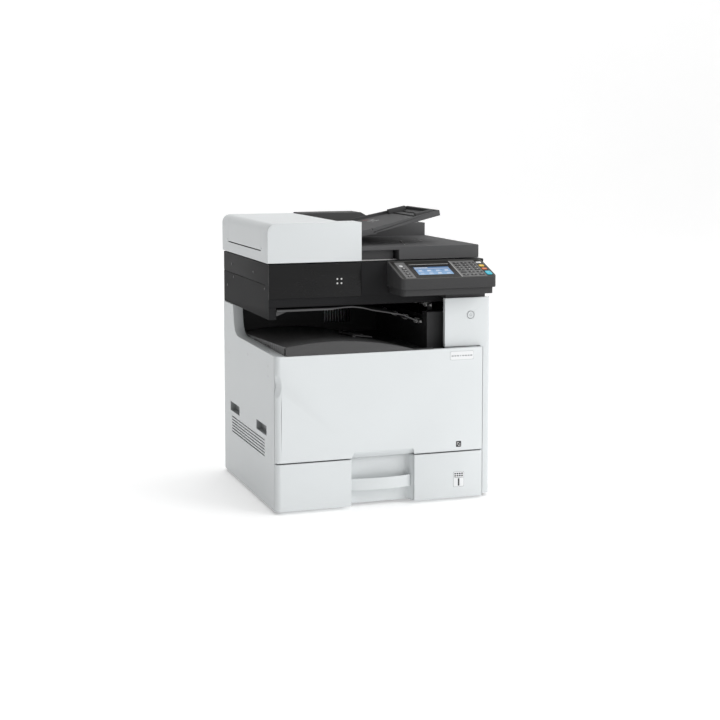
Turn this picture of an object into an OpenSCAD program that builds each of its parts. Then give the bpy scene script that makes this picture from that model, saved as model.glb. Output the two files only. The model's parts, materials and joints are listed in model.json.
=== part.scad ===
/* [Overall] */
// Width across the side covers
body_w = 590; // [580:1:720]
// Depth from the operation panel to the rear cover
body_d = 590; // [580:1:720]
// Height of the rubber feet
foot_h = 8; // [6:1:14]
// Height of the paper drawer front
drawer_h = 120; // [112:1:150]
// Height of the engine behind the front cover
engine_h = 269.5; // [262:0.5:330]
// Clear height of the output cavity
cavity_h = 114; // [100:1:140]
// Height of the scanner below its seam
scan_low_h = 55.5; // [54:0.5:80]
// Height of the scanner above its seam
scan_top_h = 53.9; // [48:0.1:70]
// Height of the document feeder
adf_h = 99.5; // [96:0.5:120]

/* [Shell] */
// Thickness of the outer covers
skin_t = 3; // [2.5:0.1:4]
// Thickness of the front cover and drawer skins
thin_t = 2.5; // [2:0.1:3]
// Thickness of the steel sheets
sheet_t = 3; // [2:0.5:4]
// Radius of the vertical outer corners
corner_r = 14; // [14:1:18]
// How far the panel stands in front of the front cover
panel_reach = 43; // [40:1:50]
// How far the scanner front is set back behind the front cover
scan_setback = 68; // [66:1:72]
// Width of the strip beside the drawer and cover
strip_w = 28.5; // [26:0.5:36]
// Width of the column under the panel
column_w = 128; // [120:1:128]
// Width of the tray rim moulded on the left cover
rim_w = 27; // [24:1:27]
// Air gap at the parting lines
part_gap = 0.5; // [0.4:0.1:0.8]
// Gap between the drawer and the front cover
seam_gap = 2.5; // [2:0.1:3]

/* [Fits] */
// Radial clearance of pins and shafts in their bores
run_fit = 0.05; // [0.03:0.01:0.09]
// Clearance under sliding parts
slide_gap = 0.3; // [0.2:0.05:0.5]
// Clearance round the keys
key_gap = 0.3; // [0.2:0.05:0.5]
// Gap between two soft rollers
nip_gap = 0.3; // [0.2:0.05:0.5]

/* [Engine] */
// Distance between the toner bottles
colour_pitch = 90; // [86:1:96]
// Radius of a toner bottle
bottle_r = 30; // [26:1:32]
// Radius of a photosensitive drum
drum_r = 15; // [13:0.5:16]
// Radius of the fuser rollers
fuser_r = 14; // [12:0.5:14.5]
// Radius of the roller shafts
shaft_r = 3; // [2.5:0.1:3.5]
// Radius of the small exit rollers
exit_r = 7; // [6:0.5:8]
// Radius of the fan rotor
fan_r = 34; // [28:1:36]

/* [Drawer] */
// Width of the drawer grip recess
grip_w = 171; // [150:1:180]
// Height of the drawer grip lip
lip_h = 31; // [26:1:36]
// Height of the drawer box walls
box_h = 90; // [70:1:90]
// Pitch radius of the side guide pinion
pinion_r = 10; // [9:0.5:11]
// Number of teeth on the side guide pinion
pinion_n = 14; // [12:1:16]

/* [Panel] */
// Slope of the operation panel in degrees
panel_tilt = 18.5; // [16:0.5:19]
// Width of the operation panel
panel_w = 260; // [256:1:270]
// Travel of a key
key_travel = 1; // [0.5:0.1:1.2]
// Radius of the power button
power_r = 10; // [8:0.5:12]

/* [Document feeder] */
// Width of the white part of the feeder
feeder_w = 249; // [240:1:250]
// Radius of the feeder shoulder
shoulder_r = 22; // [18:1:25]
// Tilt of the document tray in degrees
tray_tilt = 11.46; // [10:0.1:11.5]
// Thickness of the document tray
tray_t = 15; // [13:0.5:16]

/* [Hidden] */
eps = 0.02;
white = [0.90, 0.91, 0.92];
dark = [0.16, 0.16, 0.17];
black = [0.06, 0.06, 0.07];
steel = [0.70, 0.71, 0.73];
rubber = [0.10, 0.10, 0.10];
grey = [0.55, 0.56, 0.57];
x_l = -body_w / 2;
x_r = body_w / 2;
y_f = -body_d / 2;
y_b = body_d / 2;
y_cov = y_f + panel_reach;
y_seam = y_cov + corner_r + part_gap;
y_col = y_cov + 20;
y_scan = y_cov + scan_setback;
y_fr = y_cov + 33;
y_in = y_cov + 26;
y_back = y_b - 92;
y_plate = y_b - 33;
y_rear = y_b - 20;
z_0 = foot_h;
z_dr = z_0 + drawer_h;
z_cov = z_dr + seam_gap;
z_shelf = z_dr + sheet_t;
z_eng = z_cov + engine_h;
z_scan = z_eng + cavity_h;
z_skirt = z_scan - 30;
z_mid = z_scan + scan_low_h;
z_glass = z_mid + scan_top_h;
z_adf = z_glass + 3.1;
z_top = z_adf + adf_h;
z_deck = z_eng - 10;
x_cov = x_r - 3.5 - strip_w;
x_col = x_r - 3 - column_w;
x_plate = x_cov - 1;
x_mid = x_l + 250;
$fn = 64;

// A box between two corners
module box(x0, x1, y0, y1, z0, z1) {
  translate([x0, y0, z0])
    cube([x1 - x0, y1 - y0, z1 - z0]);
}

// A rod along X
module rod_x(y, z, r, x0, x1) {
  translate([x0, y, z])
    rotate([0, 90, 0])
      cylinder(r = r, h = x1 - x0);
}

// A rod along Y
module rod_y(x, z, r, y0, y1) {
  translate([x, y0, z])
    rotate([-90, 0, 0])
      cylinder(r = r, h = y1 - y0);
}

// A rod along Z
module rod_z(x, y, r, z0, z1) {
  translate([x, y, z0])
    cylinder(r = r, h = z1 - z0);
}

// A side profile in Y and Z drawn out along X
module side(pts, x0, x1) {
  translate([x0, 0, 0])
    rotate([90, 0, 90])
      linear_extrude(x1 - x0)
        polygon(pts);
}

// A front profile in X and Z drawn out along Y
module front(pts, y0, y1) {
  translate([0, y1, 0])
    rotate([90, 0, 0])
      linear_extrude(y1 - y0)
        polygon(pts);
}

// A plan profile drawn out along Z
module plan(pts, z0, z1) {
  translate([0, 0, z0])
    linear_extrude(z1 - z0)
      polygon(pts);
}

// Plan of a slab with one rounded front left corner
module corner_plan(x0, x1, y0, y1, r) {
  translate([x0 + r, y0])
    square([x1 - x0 - r, y1 - y0]);
  translate([x0, y0 + r])
    square([r + eps, max(y1 - y0 - r, eps)]);
  translate([x0 + r, y0 + r])
    circle(r);
}

// A skin open to the rear with one rounded front left corner
module corner_skin(x0, x1, y0, depth, r, t, z0, z1) {
  translate([0, 0, z0])
    linear_extrude(z1 - z0)
      intersection() {
        difference() {
          corner_plan(x0, x1, y0, y0 + depth + r, r);
          corner_plan(x0 + t, x1 - t, y0 + t, y0 + depth + r + t, r - t);
        }
        translate([x0, y0])
          square([x1 - x0, depth]);
      }
}

// A solid slab with one rounded front left corner
module corner_slab(x0, x1, y0, depth, r, z0, z1) {
  translate([0, 0, z0])
    linear_extrude(z1 - z0)
      intersection() {
        corner_plan(x0, x1, y0, y0 + depth + r, r);
        translate([x0, y0])
          square([x1 - x0, depth]);
      }
}

// ---- frame ----
foot_r = 16;
foot_in = 44;
foot_y1 = y_in + 36;
foot_y2 = y_plate - 18;
frame_x0 = x_l + 9;
ledge_z = z_0 + 48;
ledge_h = 3;
rail_gap = 0.8;
box_x0 = x_l + 16;
box_x1 = x_cov - 14;
rack_z = z_eng - 94;
hinge_y = y_cov + 5.5;
hinge_z = z_cov + 4;
hinge_r = 1.5;
hinge_lug_r = 2.8;
hinge_x1 = x_l + 55;
hinge_x2 = x_cov - 63;
lug_w = 8;
belt_z = z_shelf + 122;
belt_x1 = x_mid + 200;
feed_x = box_x1 - 44;
feed_z = z_dr - 9;
feed_r = 11;
feed_y0 = -40;
feed_y1 = 80;
grip_h = 25;
grip_z = z_0 + 178;
grip_d = 15;
grip_y1 = y_seam + 74;
grip_y2 = y_b - 181;
grip_len = 101;
cage_d = 13;

module feed_bracket(y) {
  difference() {
    box(feed_x - 8, feed_x + 8, y, y + 4, feed_z - 7, z_shelf + eps);
    rod_y(feed_x, feed_z, shaft_r + run_fit, y - 1, y + 5);
  }
}

module hinge_lug(x) {
  difference() {
    union() {
      rod_x(hinge_y, hinge_z, hinge_lug_r, x, x + lug_w);
      box(x, x + lug_w, hinge_y + 1.5, y_fr + 1, z_shelf + 0.5, z_shelf + sheet_t);
    }
    rod_x(hinge_y, hinge_z, hinge_r + run_fit, x - 1, x + lug_w + 1);
  }
}

module main_frame() {
  color(steel) {
    difference() {
      union() {
        box(frame_x0, x_plate + sheet_t, y_fr + 1, y_plate + sheet_t, z_0, z_0 + sheet_t);
        box(frame_x0, frame_x0 + sheet_t, y_fr + 1, y_plate + sheet_t, z_0, z_deck);
        box(x_plate, x_plate + sheet_t, y_fr + 1, y_plate + sheet_t, z_0, z_scan);
        box(frame_x0, x_plate + sheet_t, y_fr + 1, y_plate + sheet_t, z_shelf, z_shelf + sheet_t);
        box(frame_x0, x_plate + sheet_t, y_plate, y_plate + sheet_t, z_0, z_skirt - 4);
        box(frame_x0 + 20, x_plate + sheet_t, y_plate, y_plate + sheet_t, z_deck, z_scan);
        box(frame_x0, x_plate, y_fr + 1, y_plate, rack_z, rack_z + sheet_t);
        box(frame_x0, frame_x0 + 24, y_fr + 1, y_plate, z_deck - sheet_t, z_deck);
        box(x_col - 46, x_plate, y_fr + 1, y_plate, z_deck - sheet_t, z_deck);
        box(x_col + 6, x_plate + 1, y_fr, y_fr + sheet_t, z_deck - sheet_t, z_scan);
        box(frame_x0, frame_x0 + 26, y_in + 10, y_plate, belt_z + 15, belt_z + 18);
        box(belt_x1, x_plate, y_in + 10, y_plate, belt_z + 15, belt_z + 18);
      }
      grip_hole(grip_y1);
      grip_hole(grip_y2);
      box(x_mid + 220, x_mid + 290, y_in + 60, y_plate - 60, z_shelf - 1, z_deck + 1);
    }
    box(frame_x0 + sheet_t - eps, box_x0 - rail_gap, y_fr + 4, y_plate - 7, ledge_z, ledge_z + ledge_h);
    box(box_x1 + rail_gap, x_plate + eps, y_fr + 4, y_plate - 7, ledge_z, ledge_z + ledge_h);
    feed_bracket(feed_y0);
    feed_bracket(feed_y1 - 4);
    hinge_lug(hinge_x1);
    hinge_lug(hinge_x2);
    supply_cage(y_plate + sheet_t - eps);
  }
}

// Steel cage of the power supply, welded to the rear plate
module supply_cage(y) {
  difference() {
    box(x_l + 30, x_l + 150, y, y + cage_d, z_0 + 14, z_0 + 94);
    box(x_l + 32, x_l + 148, y + 2, y + cage_d - 2, z_0 + 16, z_0 + 92);
  }
}

module grip_hole(y) {
  box(frame_x0 - 1, frame_x0 + sheet_t + 1, y - 3, y + grip_len + 3, grip_z - 3, grip_z + grip_h + 3);
}

module rubber_feet() {
  color(rubber)
    for (x = [x_l + foot_in, x_r - foot_in - 20])
      for (y = [foot_y1, foot_y2])
        translate([x, y, 0])
          cylinder(r1 = foot_r - 2, r2 = foot_r, h = foot_h);
}

// ---- outer covers ----
vent_n = 6;
vent_pitch = 8.2;
vent_h = 3.6;
vent_z = z_cov - 2;
vent_y0 = y_seam + 93;
vent_y1 = y_b - 96;
rise_y = y_b - 118;
screw_r = 3.4;
screw_head = 1.6;
screw_shaft = 1.5;
screw_pts = [[y_b - 88, z_eng + 58], [y_b - 276, z_eng - 31], [y_seam + 56, z_eng - 33],
  [y_seam + 56, z_eng - 58], [y_b - 69, z_eng - 55]];

function contour(d) = [
  [y_seam, z_eng - d],
  [rise_y - 106, z_eng + 2.3 - d],
  [rise_y - 60, z_eng + 2.8 - d],
  [rise_y - 44, z_eng + 4.4 - d],
  [rise_y - 33, z_eng + 7.6 - d],
  [rise_y - 23, z_eng + 13 - d],
  [rise_y - 15 + d, z_eng + 22],
  [rise_y - 9 + d, z_eng + 34],
  [rise_y - 5 + d, z_eng + 50],
  [rise_y + d, z_eng + 79]
];

module grip_pocket(y) {
  difference() {
    box(x_l + eps, x_l + grip_d + 2, y - 2, y + grip_len + 2, grip_z - 2, grip_z + grip_h + 2);
    box(x_l - 1, x_l + grip_d, y, y + grip_len, grip_z, grip_z + grip_h);
  }
}

module left_cover() {
  color(white) {
    difference() {
      side(concat(contour(0), [[rise_y, z_skirt], [y_rear, z_skirt], [y_rear, z_0], [y_seam, z_0]]),
        x_l, x_l + skin_t);
      box(x_l - 1, x_l + skin_t + 1, grip_y1, grip_y1 + grip_len, grip_z, grip_z + grip_h);
      box(x_l - 1, x_l + skin_t + 1, grip_y2, grip_y2 + grip_len, grip_z, grip_z + grip_h);
      for (i = [0 : vent_n - 1])
        box(x_l - 1, x_l + skin_t + 1, vent_y0, vent_y1, vent_z + i * vent_pitch, vent_z + i * vent_pitch + vent_h);
      for (p = screw_pts) {
        rod_x(p[0], p[1], screw_r + key_gap, x_l - 1, x_l + screw_head + key_gap);
        rod_x(p[0], p[1], screw_shaft + run_fit, x_l, x_l + skin_t + 1);
      }
    }
    intersection() {
      difference() {
        side(concat(contour(0), [[rise_y, z_skirt], [rise_y + 40, z_skirt], [rise_y + 40, z_0], [y_seam, z_0]]),
          x_l + 1, x_l + rim_w);
        side(concat(contour(skin_t), [[rise_y + skin_t, z_skirt + 1], [rise_y + 41, z_skirt + 1],
          [rise_y + 41, z_0 - 1], [y_seam - 1, z_0 - 1], [y_seam - 1, z_eng - skin_t]]), x_l, x_l + rim_w + 1);
      }
      box(x_l, x_l + rim_w, y_seam + 1, y_back, z_eng - 5, z_skirt);
    }
    grip_pocket(grip_y1);
    grip_pocket(grip_y2);
    for (y = [y_seam + 12, y_rear - 20])
      box(x_l + 1, frame_x0, y, y + skin_t, z_0 + 20, z_eng - 60);
  }
}

module cover_screws() {
  color(steel)
    for (p = screw_pts) {
      rod_x(p[0], p[1], screw_r, x_l + key_gap, x_l + screw_head + key_gap);
      rod_x(p[0], p[1], screw_shaft, x_l + key_gap, x_l + skin_t + 2);
    }
}

inlet_x = x_l + 60;
inlet_z = z_0 + 50;
inlet_w = 30;
inlet_h = 24;
fan_x = x_mid + 180;
fan_z = z_0 + 335;
fan_box = 80;
slot_n = 9;
boss_r = 5;

module rear_cover() {
  color(white)
    difference() {
      union() {
        translate([0, 0, z_0])
          linear_extrude(z_skirt - z_0 - part_gap)
            intersection() {
              difference() {
                rear_plan(0);
                rear_plan(skin_t);
              }
              translate([x_l, y_rear + part_gap])
                square([body_w, y_b - y_rear]);
            }
        box(x_l + corner_r, x_r - corner_r, y_rear + part_gap, y_b - 1, z_skirt - part_gap - skin_t, z_skirt - part_gap);
        for (x = [x_mid - 150, x_mid + 245])
          rod_y(x, z_skirt - 50, boss_r, y_plate + sheet_t, y_b - 1);
        for (x = [x_mid - 30, x_mid + 245])
          rod_y(x, z_0 + 30, boss_r, y_plate + sheet_t, y_b - 1);
      }
      box(inlet_x - inlet_w / 2, inlet_x + inlet_w / 2, y_b - 9, y_b + 1, inlet_z - inlet_h / 2, inlet_z + inlet_h / 2);
      for (i = [0 : slot_n - 1])
        box(fan_x - fan_r, fan_x + fan_r, y_b - 9, y_b + 1, fan_z - 34 + i * 8, fan_z - 30 + i * 8);
      for (i = [0 : slot_n - 1])
        box(x_mid - 40, x_mid + 80, y_b - 9, y_b + 1, z_0 + 60 + i * 8, z_0 + 64 + i * 8);
    }
}

module rear_plan(t) {
  translate([x_l + corner_r, y_rear - 20])
    square([body_w - 2 * corner_r, 40 - t]);
  translate([x_l + t, y_rear - 20])
    square([body_w - 2 * t, 40 - corner_r]);
  for (x = [x_l + corner_r, x_r - corner_r])
    translate([x, y_b - corner_r])
      circle(corner_r - t);
}

door_z0 = z_shelf + 9;
door_z1 = z_skirt - 4;
door_y0 = y_fr + 7;
door_y1 = y_b - 99;
door_px = x_r - 6.2;
door_py = door_y1 + 3;
door_pin = 3;
knuckle_r = 5;

module door_bracket(z) {
  difference() {
    box(door_px - 8, x_r - 1, door_py - 7, door_py + 8, z, z + 4);
    rod_z(door_px, door_py, door_pin + run_fit, z - 1, z + 5);
  }
}

module right_cover() {
  color(white) {
    difference() {
      box(x_r - skin_t, x_r, y_fr + 3, y_rear, z_0, z_scan - part_gap);
      box(x_r - skin_t - 1, x_r + 1, door_y0 - 1, door_py + 7, door_z0 - 1, door_z1 + 1);
      for (i = [0 : vent_n - 1])
        box(x_r - skin_t - 1, x_r + 1, y_b - 80, y_rear - 5, z_cov + 150 + i * vent_pitch, z_cov + 150 + i * vent_pitch + vent_h);
    }
    door_bracket(door_z0 - 7);
    door_bracket(door_z1 + 3);
    box(x_plate + sheet_t, x_r - 1, y_rear - 30, y_rear - 27, z_0, z_scan - part_gap);
  }
}

power_x = x_r - 58.6;
power_z = z_eng + 82.4;
col_top = z_scan + 14;
col_r = 8;

module right_column() {
  color(white)
    difference() {
      union() {
        column_skin(x_cov + part_gap, z_0, z_eng + 4);
        column_skin(x_col, z_eng + 1.5, col_top);
        box(x_col + 1, x_cov + 5, y_col, y_fr - part_gap, z_eng + 1.5, z_eng + 1.5 + skin_t);
        box(x_col + 1, x_r - 3 - col_r, y_col, y_fr - part_gap, col_top - skin_t, col_top);
        rod_y(power_x, power_z, power_r + 4, y_col + 1, y_col + 9);
        box(x_col + 10, x_col + 13, y_col + 1, y_fr, z_eng + 5, col_top - 5);
        box(x_r - 22, x_r - 19, y_col + 1, y_fr + 3.5, z_0 + 10, z_eng - 50);
      }
      rod_y(power_x, power_z, power_r + key_gap, y_col - 1, y_col + 7);
    }
}

module column_skin(x0, z0, z1) {
  translate([0, 0, z0])
    linear_extrude(z1 - z0)
      intersection() {
        difference() {
          column_plan(x0, 0);
          column_plan(x0, skin_t);
        }
        translate([x0, y_col])
          square([x_r - x0, y_fr - part_gap - y_col]);
      }
}

module column_plan(x0, t) {
  translate([x0 + t, y_col + t])
    square([x_r - 3 - col_r - x0 - t, 60]);
  translate([x0 + t, y_col + col_r])
    square([x_r - 3 - x0 - 2 * t, 60]);
  translate([x_r - 3 - col_r, y_col + col_r])
    circle(col_r - t);
}

module power_button() {
  color(white)
    difference() {
      rod_y(power_x, power_z, power_r, y_col - 0.5, y_col + 5);
      rod_y(power_x, power_z, power_r - 1.2, y_col - 1, y_col);
    }
}

// ---- front cover ----
well_x0 = x_l + 198;
well_x1 = well_x0 + grip_w;
well_in = 16;
notch_z = z_cov + 195.5;
notch_half = 34;
notch_d = 8;
notch_r = (notch_half * notch_half + notch_d * notch_d) / (2 * notch_d);

module cheek(x) {
  box(x, x + 2, y_cov + 1, hinge_y + 2, hinge_z - 2.5, hinge_z + 4);
}

module cover_hinge(x) {
  cheek(x - 2.5);
  cheek(x + lug_w + 0.5);
  rod_x(hinge_y, hinge_z, hinge_r, x - 1.5, x + lug_w + 1.5);
}

module front_cover() {
  depth = corner_r - 1;
  color(white) {
    difference() {
      union() {
        corner_skin(x_l, x_cov, y_cov, depth, corner_r, thin_t, z_cov, z_eng);
        corner_slab(x_l, x_cov, y_cov, depth, corner_r, z_eng - thin_t, z_eng);
        intersection() {
          corner_slab(x_l, x_cov, y_cov, depth, corner_r, notch_z - notch_half - 5, notch_z + notch_half + 5);
          box(x_l, x_l + corner_r + 4, y_cov, y_cov + depth, z_cov, z_eng);
        }
      }
      front([[well_x0 + 9, z_cov + well_in], [well_x1 - 4, z_cov + well_in], [well_x1, z_cov - 1],
        [well_x0, z_cov - 1]], y_cov - 1, y_cov + thin_t + 1);
      side([[y_cov - 1, z_cov - 1], [y_cov + 1.6, z_cov - 1], [y_cov - 1, z_cov + 1.6]], x_l - 1, x_cov + 1);
      side([[y_cov - 1, z_eng + 1], [y_cov + 1, z_eng + 1], [y_cov - 1, z_eng - 1]], x_l - 1, x_cov + 1);
      plan([[x_cov + 1, y_cov - 1], [x_cov - 1.4, y_cov - 1], [x_cov + 1, y_cov + 1.4]], z_cov - 1, z_eng + 1);
      translate([x_l + 4.1, y_cov + 4.1, notch_z])
        rotate([0, 0, 45])
          translate([-notch_r + notch_d - 2.8, -40, 0])
            rotate([-90, 0, 0])
              cylinder(r = notch_r, h = 80);
    }
    side([[y_cov, z_cov + well_in], [y_cov + 2.4, z_cov + well_in + 3], [y_cov + well_in + 2.5, z_cov + 5],
      [y_cov + well_in + 2.5, z_cov - 1.2], [y_cov + well_in, z_cov - 1.2]], well_x0 - 2, well_x1 + 2);
    for (x = [well_x0 - 2, well_x1])
      side([[y_cov + 1, z_cov + well_in + 1], [y_cov + 1, z_cov + 1.6], [y_cov + well_in, z_cov + 1.6]], x, x + 2);
    cover_hinge(hinge_x1);
    cover_hinge(hinge_x2);
  }
}

module inner_cover() {
  color(grey)
    difference() {
      union() {
        box(frame_x0 + sheet_t, x_plate, y_in, y_in + skin_t, z_shelf + sheet_t + 2, z_deck - 4);
        for (x = [frame_x0 + sheet_t, x_plate - skin_t])
          box(x, x + skin_t, y_in, y_in + 20, z_shelf + sheet_t + 2, belt_z);
      }
      for (i = [0 : 3])
        rod_y(bottle_x(i), bottle_z, bottle_r + 3, y_in - 1, y_in + skin_t + 1);
      for (i = [0 : 3])
        box(unit_x(i) - 12, unit_x(i) + 12, y_in - 1, y_in + skin_t + 1, unit_z + 8, unit_z + 40);
    }
}

// ---- right door and bypass tray ----
mp_y0 = y_fr + 89;
mp_y1 = door_y1 - 86;
mp_z0 = door_z0 + 59;
mp_z1 = mp_z0 + 200;
mp_pin = 2;
mp_px = x_r - 4;
mp_pz = mp_z0 + 5.5;

module right_door() {
  color(white)
    difference() {
      union() {
        box(x_r - skin_t, x_r, door_y0, door_y1, door_z0, door_z1);
        box(x_r - 18, x_r - 15, door_y0 + 10, door_y1 - 12, door_z0 + 10, door_z1 - 10);
        box(x_r - 18, x_r - 1, door_y0 + 10, door_y0 + 13, door_z0 + 10, door_z1 - 10);
        box(x_r - 18, x_r - 1, door_y1 - 15, door_y1 - 12, door_z0 + 10, door_z1 - 10);
        box(x_r - 18, x_r - 1, door_y0 + 10, door_y1 - 12, door_z0 + 10, door_z0 + 13);
        box(x_r - 18, x_r - 1, door_y0 + 10, door_y1 - 12, door_z1 - 13, door_z1 - 10);
        for (y = [mp_y0 - 4, mp_y1 + 0.5])
          box(x_r - 10, x_r - 1, y, y + 3.5, mp_z0 - 1, mp_z0 + 11);
        for (z = [door_z0, door_z1 - 4]) {
          rod_z(door_px, door_py, knuckle_r - 0.1, z, z + 4);
          box(door_px - 4, x_r - 0.5, door_y1 - 6, door_py, z, z + 4);
        }
        rod_z(door_px, door_py, door_pin, door_z0 - 7, door_z0 + 1);
        rod_z(door_px, door_py, door_pin, door_z1 - 1, door_z1 + 7);
      }
      box(x_r - skin_t - 1, x_r + 1, mp_y0, mp_y1, mp_z0, mp_z1);
      rod_y(mp_px, mp_pz, mp_pin + run_fit, mp_y0 - 5, mp_y0 + 1);
      rod_y(mp_px, mp_pz, mp_pin + run_fit, mp_y1 - 1, mp_y1 + 5);
      box(x_r - 19, x_r - 14, mp_y0 + 20, mp_y1 - 20, mp_z0 + 20, mp_z0 + 40);
    }
}

module mp_tray() {
  color(white)
    difference() {
      union() {
        box(x_r - 4, x_r, mp_y0 + part_gap, mp_y1 - part_gap, mp_pz, mp_z1 - part_gap);
        rod_y(mp_px, mp_pz, 4, mp_y0 + part_gap, mp_y1 - part_gap);
        rod_y(mp_px, mp_pz, mp_pin, mp_y0 - 3.5, mp_y1 + 3.5);
      }
      box(x_r - 1.5, x_r + 1, mp_y0 + 90, mp_y1 - 90, mp_z1 - 16, mp_z1 - 8);
      for (i = [0 : 7])
        box(x_r - 4.5, x_r - 3, mp_y0 + 20 + i * 26, mp_y0 + 24 + i * 26, mp_z0 + 20, mp_z1 - 20);
    }
}

// ---- output area ----
arc_r = 800;
arc_x = x_l + 151;
arc_top = 32.4;
deck_tilt = 2.2;
deck_t = 3;
tray_x0 = x_l + rim_w;
exit_x0 = x_col - 37;
stop_x = x_l + 253;
stop_y = 150;
stop_len = 52;
stop_wid = 100;
stop_pin = 1.5;
stop_ang = asin((stop_x - arc_x) / arc_r);
out_x = exit_x0 - 6;
out_z = z_eng + 62;
up_x = exit_x0 + 22;
up_z = z_eng + 104;

module deck_frame() {
  translate([arc_x, y_cov, z_eng + arc_top])
    rotate([-deck_tilt, 0, 0])
      children();
}

// Frame standing on the curved deck at the paper stopper
module stop_frame() {
  deck_frame()
    translate([0, stop_y, -arc_r])
      rotate([0, stop_ang, 0])
        translate([0, 0, arc_r + 2.2])
          children();
}

module output_tray() {
  color(dark)
    difference() {
      union() {
        intersection() {
          deck_frame()
            difference() {
              rod_y(0, -arc_r, arc_r, -1, y_back - y_cov + 4);
              rod_y(0, -arc_r, arc_r - deck_t, -2, y_back - y_cov + 5);
            }
          union() {
            box(tray_x0, exit_x0 - part_gap, y_cov, y_back, z_eng + 1, z_eng + 40);
            box(tray_x0, exit_x0 - part_gap, y_cov + 14, y_back, z_deck, z_eng + 40);
          }
        }
        intersection() {
          rod_y(arc_x, z_eng + arc_top - arc_r, arc_r, y_cov, y_cov + 4);
          box(tray_x0, exit_x0 - part_gap, y_cov, y_cov + 4, z_eng + 1, z_eng + 40);
        }
        intersection() {
          deck_frame()
            rod_y(0, -arc_r, arc_r, -1, y_back - y_cov + 4);
          box(tray_x0, tray_x0 + deck_t, y_cov + 14, y_back, z_deck, z_eng + 40);
        }
        intersection() {
          deck_frame()
            rod_y(0, -arc_r, arc_r, -1, y_back - y_cov + 4);
          box(tray_x0, tray_x0 + 12, y_cov, y_cov + 4, z_eng + 1, z_eng + 40);
        }
        box(tray_x0 + 230, exit_x0 - part_gap, y_cov + 14, y_back, z_deck, z_deck + deck_t);
        box(tray_x0 + 230, exit_x0 - part_gap, y_cov + 14, y_cov + 14 + deck_t, z_deck, z_eng + 2);
        box(tray_x0, exit_x0 - part_gap, y_cov + 0.5, y_cov + 15, z_eng + 1, z_eng + 3);
        stop_frame() {
          for (y = [-8, stop_wid + 1])
            translate([-4, y, -4])
              cube([8, 7, 8]);
        }
      }
      for (j = [0 : 2])
        for (i = [0 : 2])
          box(tray_x0 - 1, tray_x0 + deck_t + 1, y_cov + 150 + i * 100, y_cov + 200 + i * 100, z_eng - 4 + j * 4, z_eng - 2 + j * 4);
      stop_frame()
        rod_y(0, 2, stop_pin + run_fit, -12, stop_wid + 12);
    }
}

module paper_stopper() {
  color(dark)
    stop_frame() {
      difference() {
        union() {
          translate([0, 0, 0.7])
            cube([stop_len, stop_wid, 2.6]);
          rod_y(0, 2, 1.9, 0, stop_wid);
        }
        translate([stop_len - 14, 30, -1])
          cube([15, stop_wid - 60, 6]);
      }
      rod_y(0, 2, stop_pin, -6, stop_wid + 6);
    }
}

module exit_housing() {
  color(dark) {
    difference() {
      union() {
        box(exit_x0, x_plate - 1, y_scan - 16, y_back, z_deck, z_eng + 90);
        box(tray_x0, x_plate - 1, y_back, y_back + skin_t, z_deck, z_scan - 1);
      }
      box(exit_x0 + skin_t, x_plate, y_scan - 13, y_back - skin_t, z_deck + skin_t, z_eng + 87);
      box(exit_x0 - 1, exit_x0 + 4, y_scan + 14, y_back - 30, out_z - 6, out_z + 6);
      for (i = [0 : 9])
        box(x_mid + 20 + i * 8, x_mid + 24 + i * 8, y_back - 1, y_back + skin_t + 1, z_eng + 20, z_eng + 85);
      box(x_mid + 170, x_plate - 30, y_scan + 20, y_back - 30, z_eng + 80, z_eng + 95);
    }
    for (y = [y_scan + 19, y_back - 42])
      difference() {
        box(out_x - 6, exit_x0 + 1, y, y + 4, out_z - 6, out_z + 6);
        rod_y(out_x, out_z, shaft_r + run_fit, y - 1, y + 5);
      }
    for (y = [y_scan + 19, y_back - 42])
      difference() {
        box(up_x - 6, up_x + 6, y, y + 4, z_eng + 89, up_z + 6);
        rod_y(up_x, up_z, shaft_r + run_fit, y - 1, y + 5);
      }
  }
}

module roller_set(x, z) {
  rod_y(x, z, shaft_r, y_scan + 12, y_back - 34);
  for (y = [y_scan + 30, y_scan + 120, y_scan + 200, y_scan + 290])
    rod_y(x, z, exit_r, y, y + 22);
}

module lower_exit_roller() {
  color(grey)
    roller_set(out_x, out_z);
}

module upper_exit_roller() {
  color(grey)
    roller_set(up_x, up_z);
}

module job_tray() {
  z = z_eng + 109;
  color(dark) {
    front([[x_l + 22, z - 3], [x_l + 172, z - 3], [x_l + 200, z - 1], [x_l + 224, z - 0.5], [x_l + 250, z - 4],
      [x_l + 276, z - 11], [x_l + 320, z - 19], [x_l + 361, z - 27], [out_x - 14, z - 46], [out_x - 13, z - 43],
      [x_l + 361, z - 24], [x_l + 320, z - 16], [x_l + 276, z - 8], [x_l + 250, z - 1], [x_l + 224, z + 2.5],
      [x_l + 200, z + 2], [x_l + 172, z], [x_l + 22, z]], y_scan - 6, y_back - 50);
    front([[x_l + 22, z - 2], [x_l + 22, z - 16], [x_l + 26, z - 16], [x_l + 62, z - 2]], y_scan + 6, y_scan + 9);
    box(x_l + 22, x_l + 172, y_scan - 6, y_scan - 2, z - 5, z);
  }
}

// ---- scanner ----
scan_t = 2.5;
skirt_w = 19;
scan_x0 = x_l + 3;
scan_x1 = x_r - 3;
gloss_x = x_l + 248;
glass_y0 = y_scan + 34;
glass_y1 = glass_y0 + 304;
slit_x0 = scan_x0 + 44;
slit_x1 = slit_x0 + 24;
glass_x0 = slit_x1 + 22;
glass_x1 = glass_x0 + 436;
glass_t = 3;
car_x = scan_x0 + 30;
car_w = 32;

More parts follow.
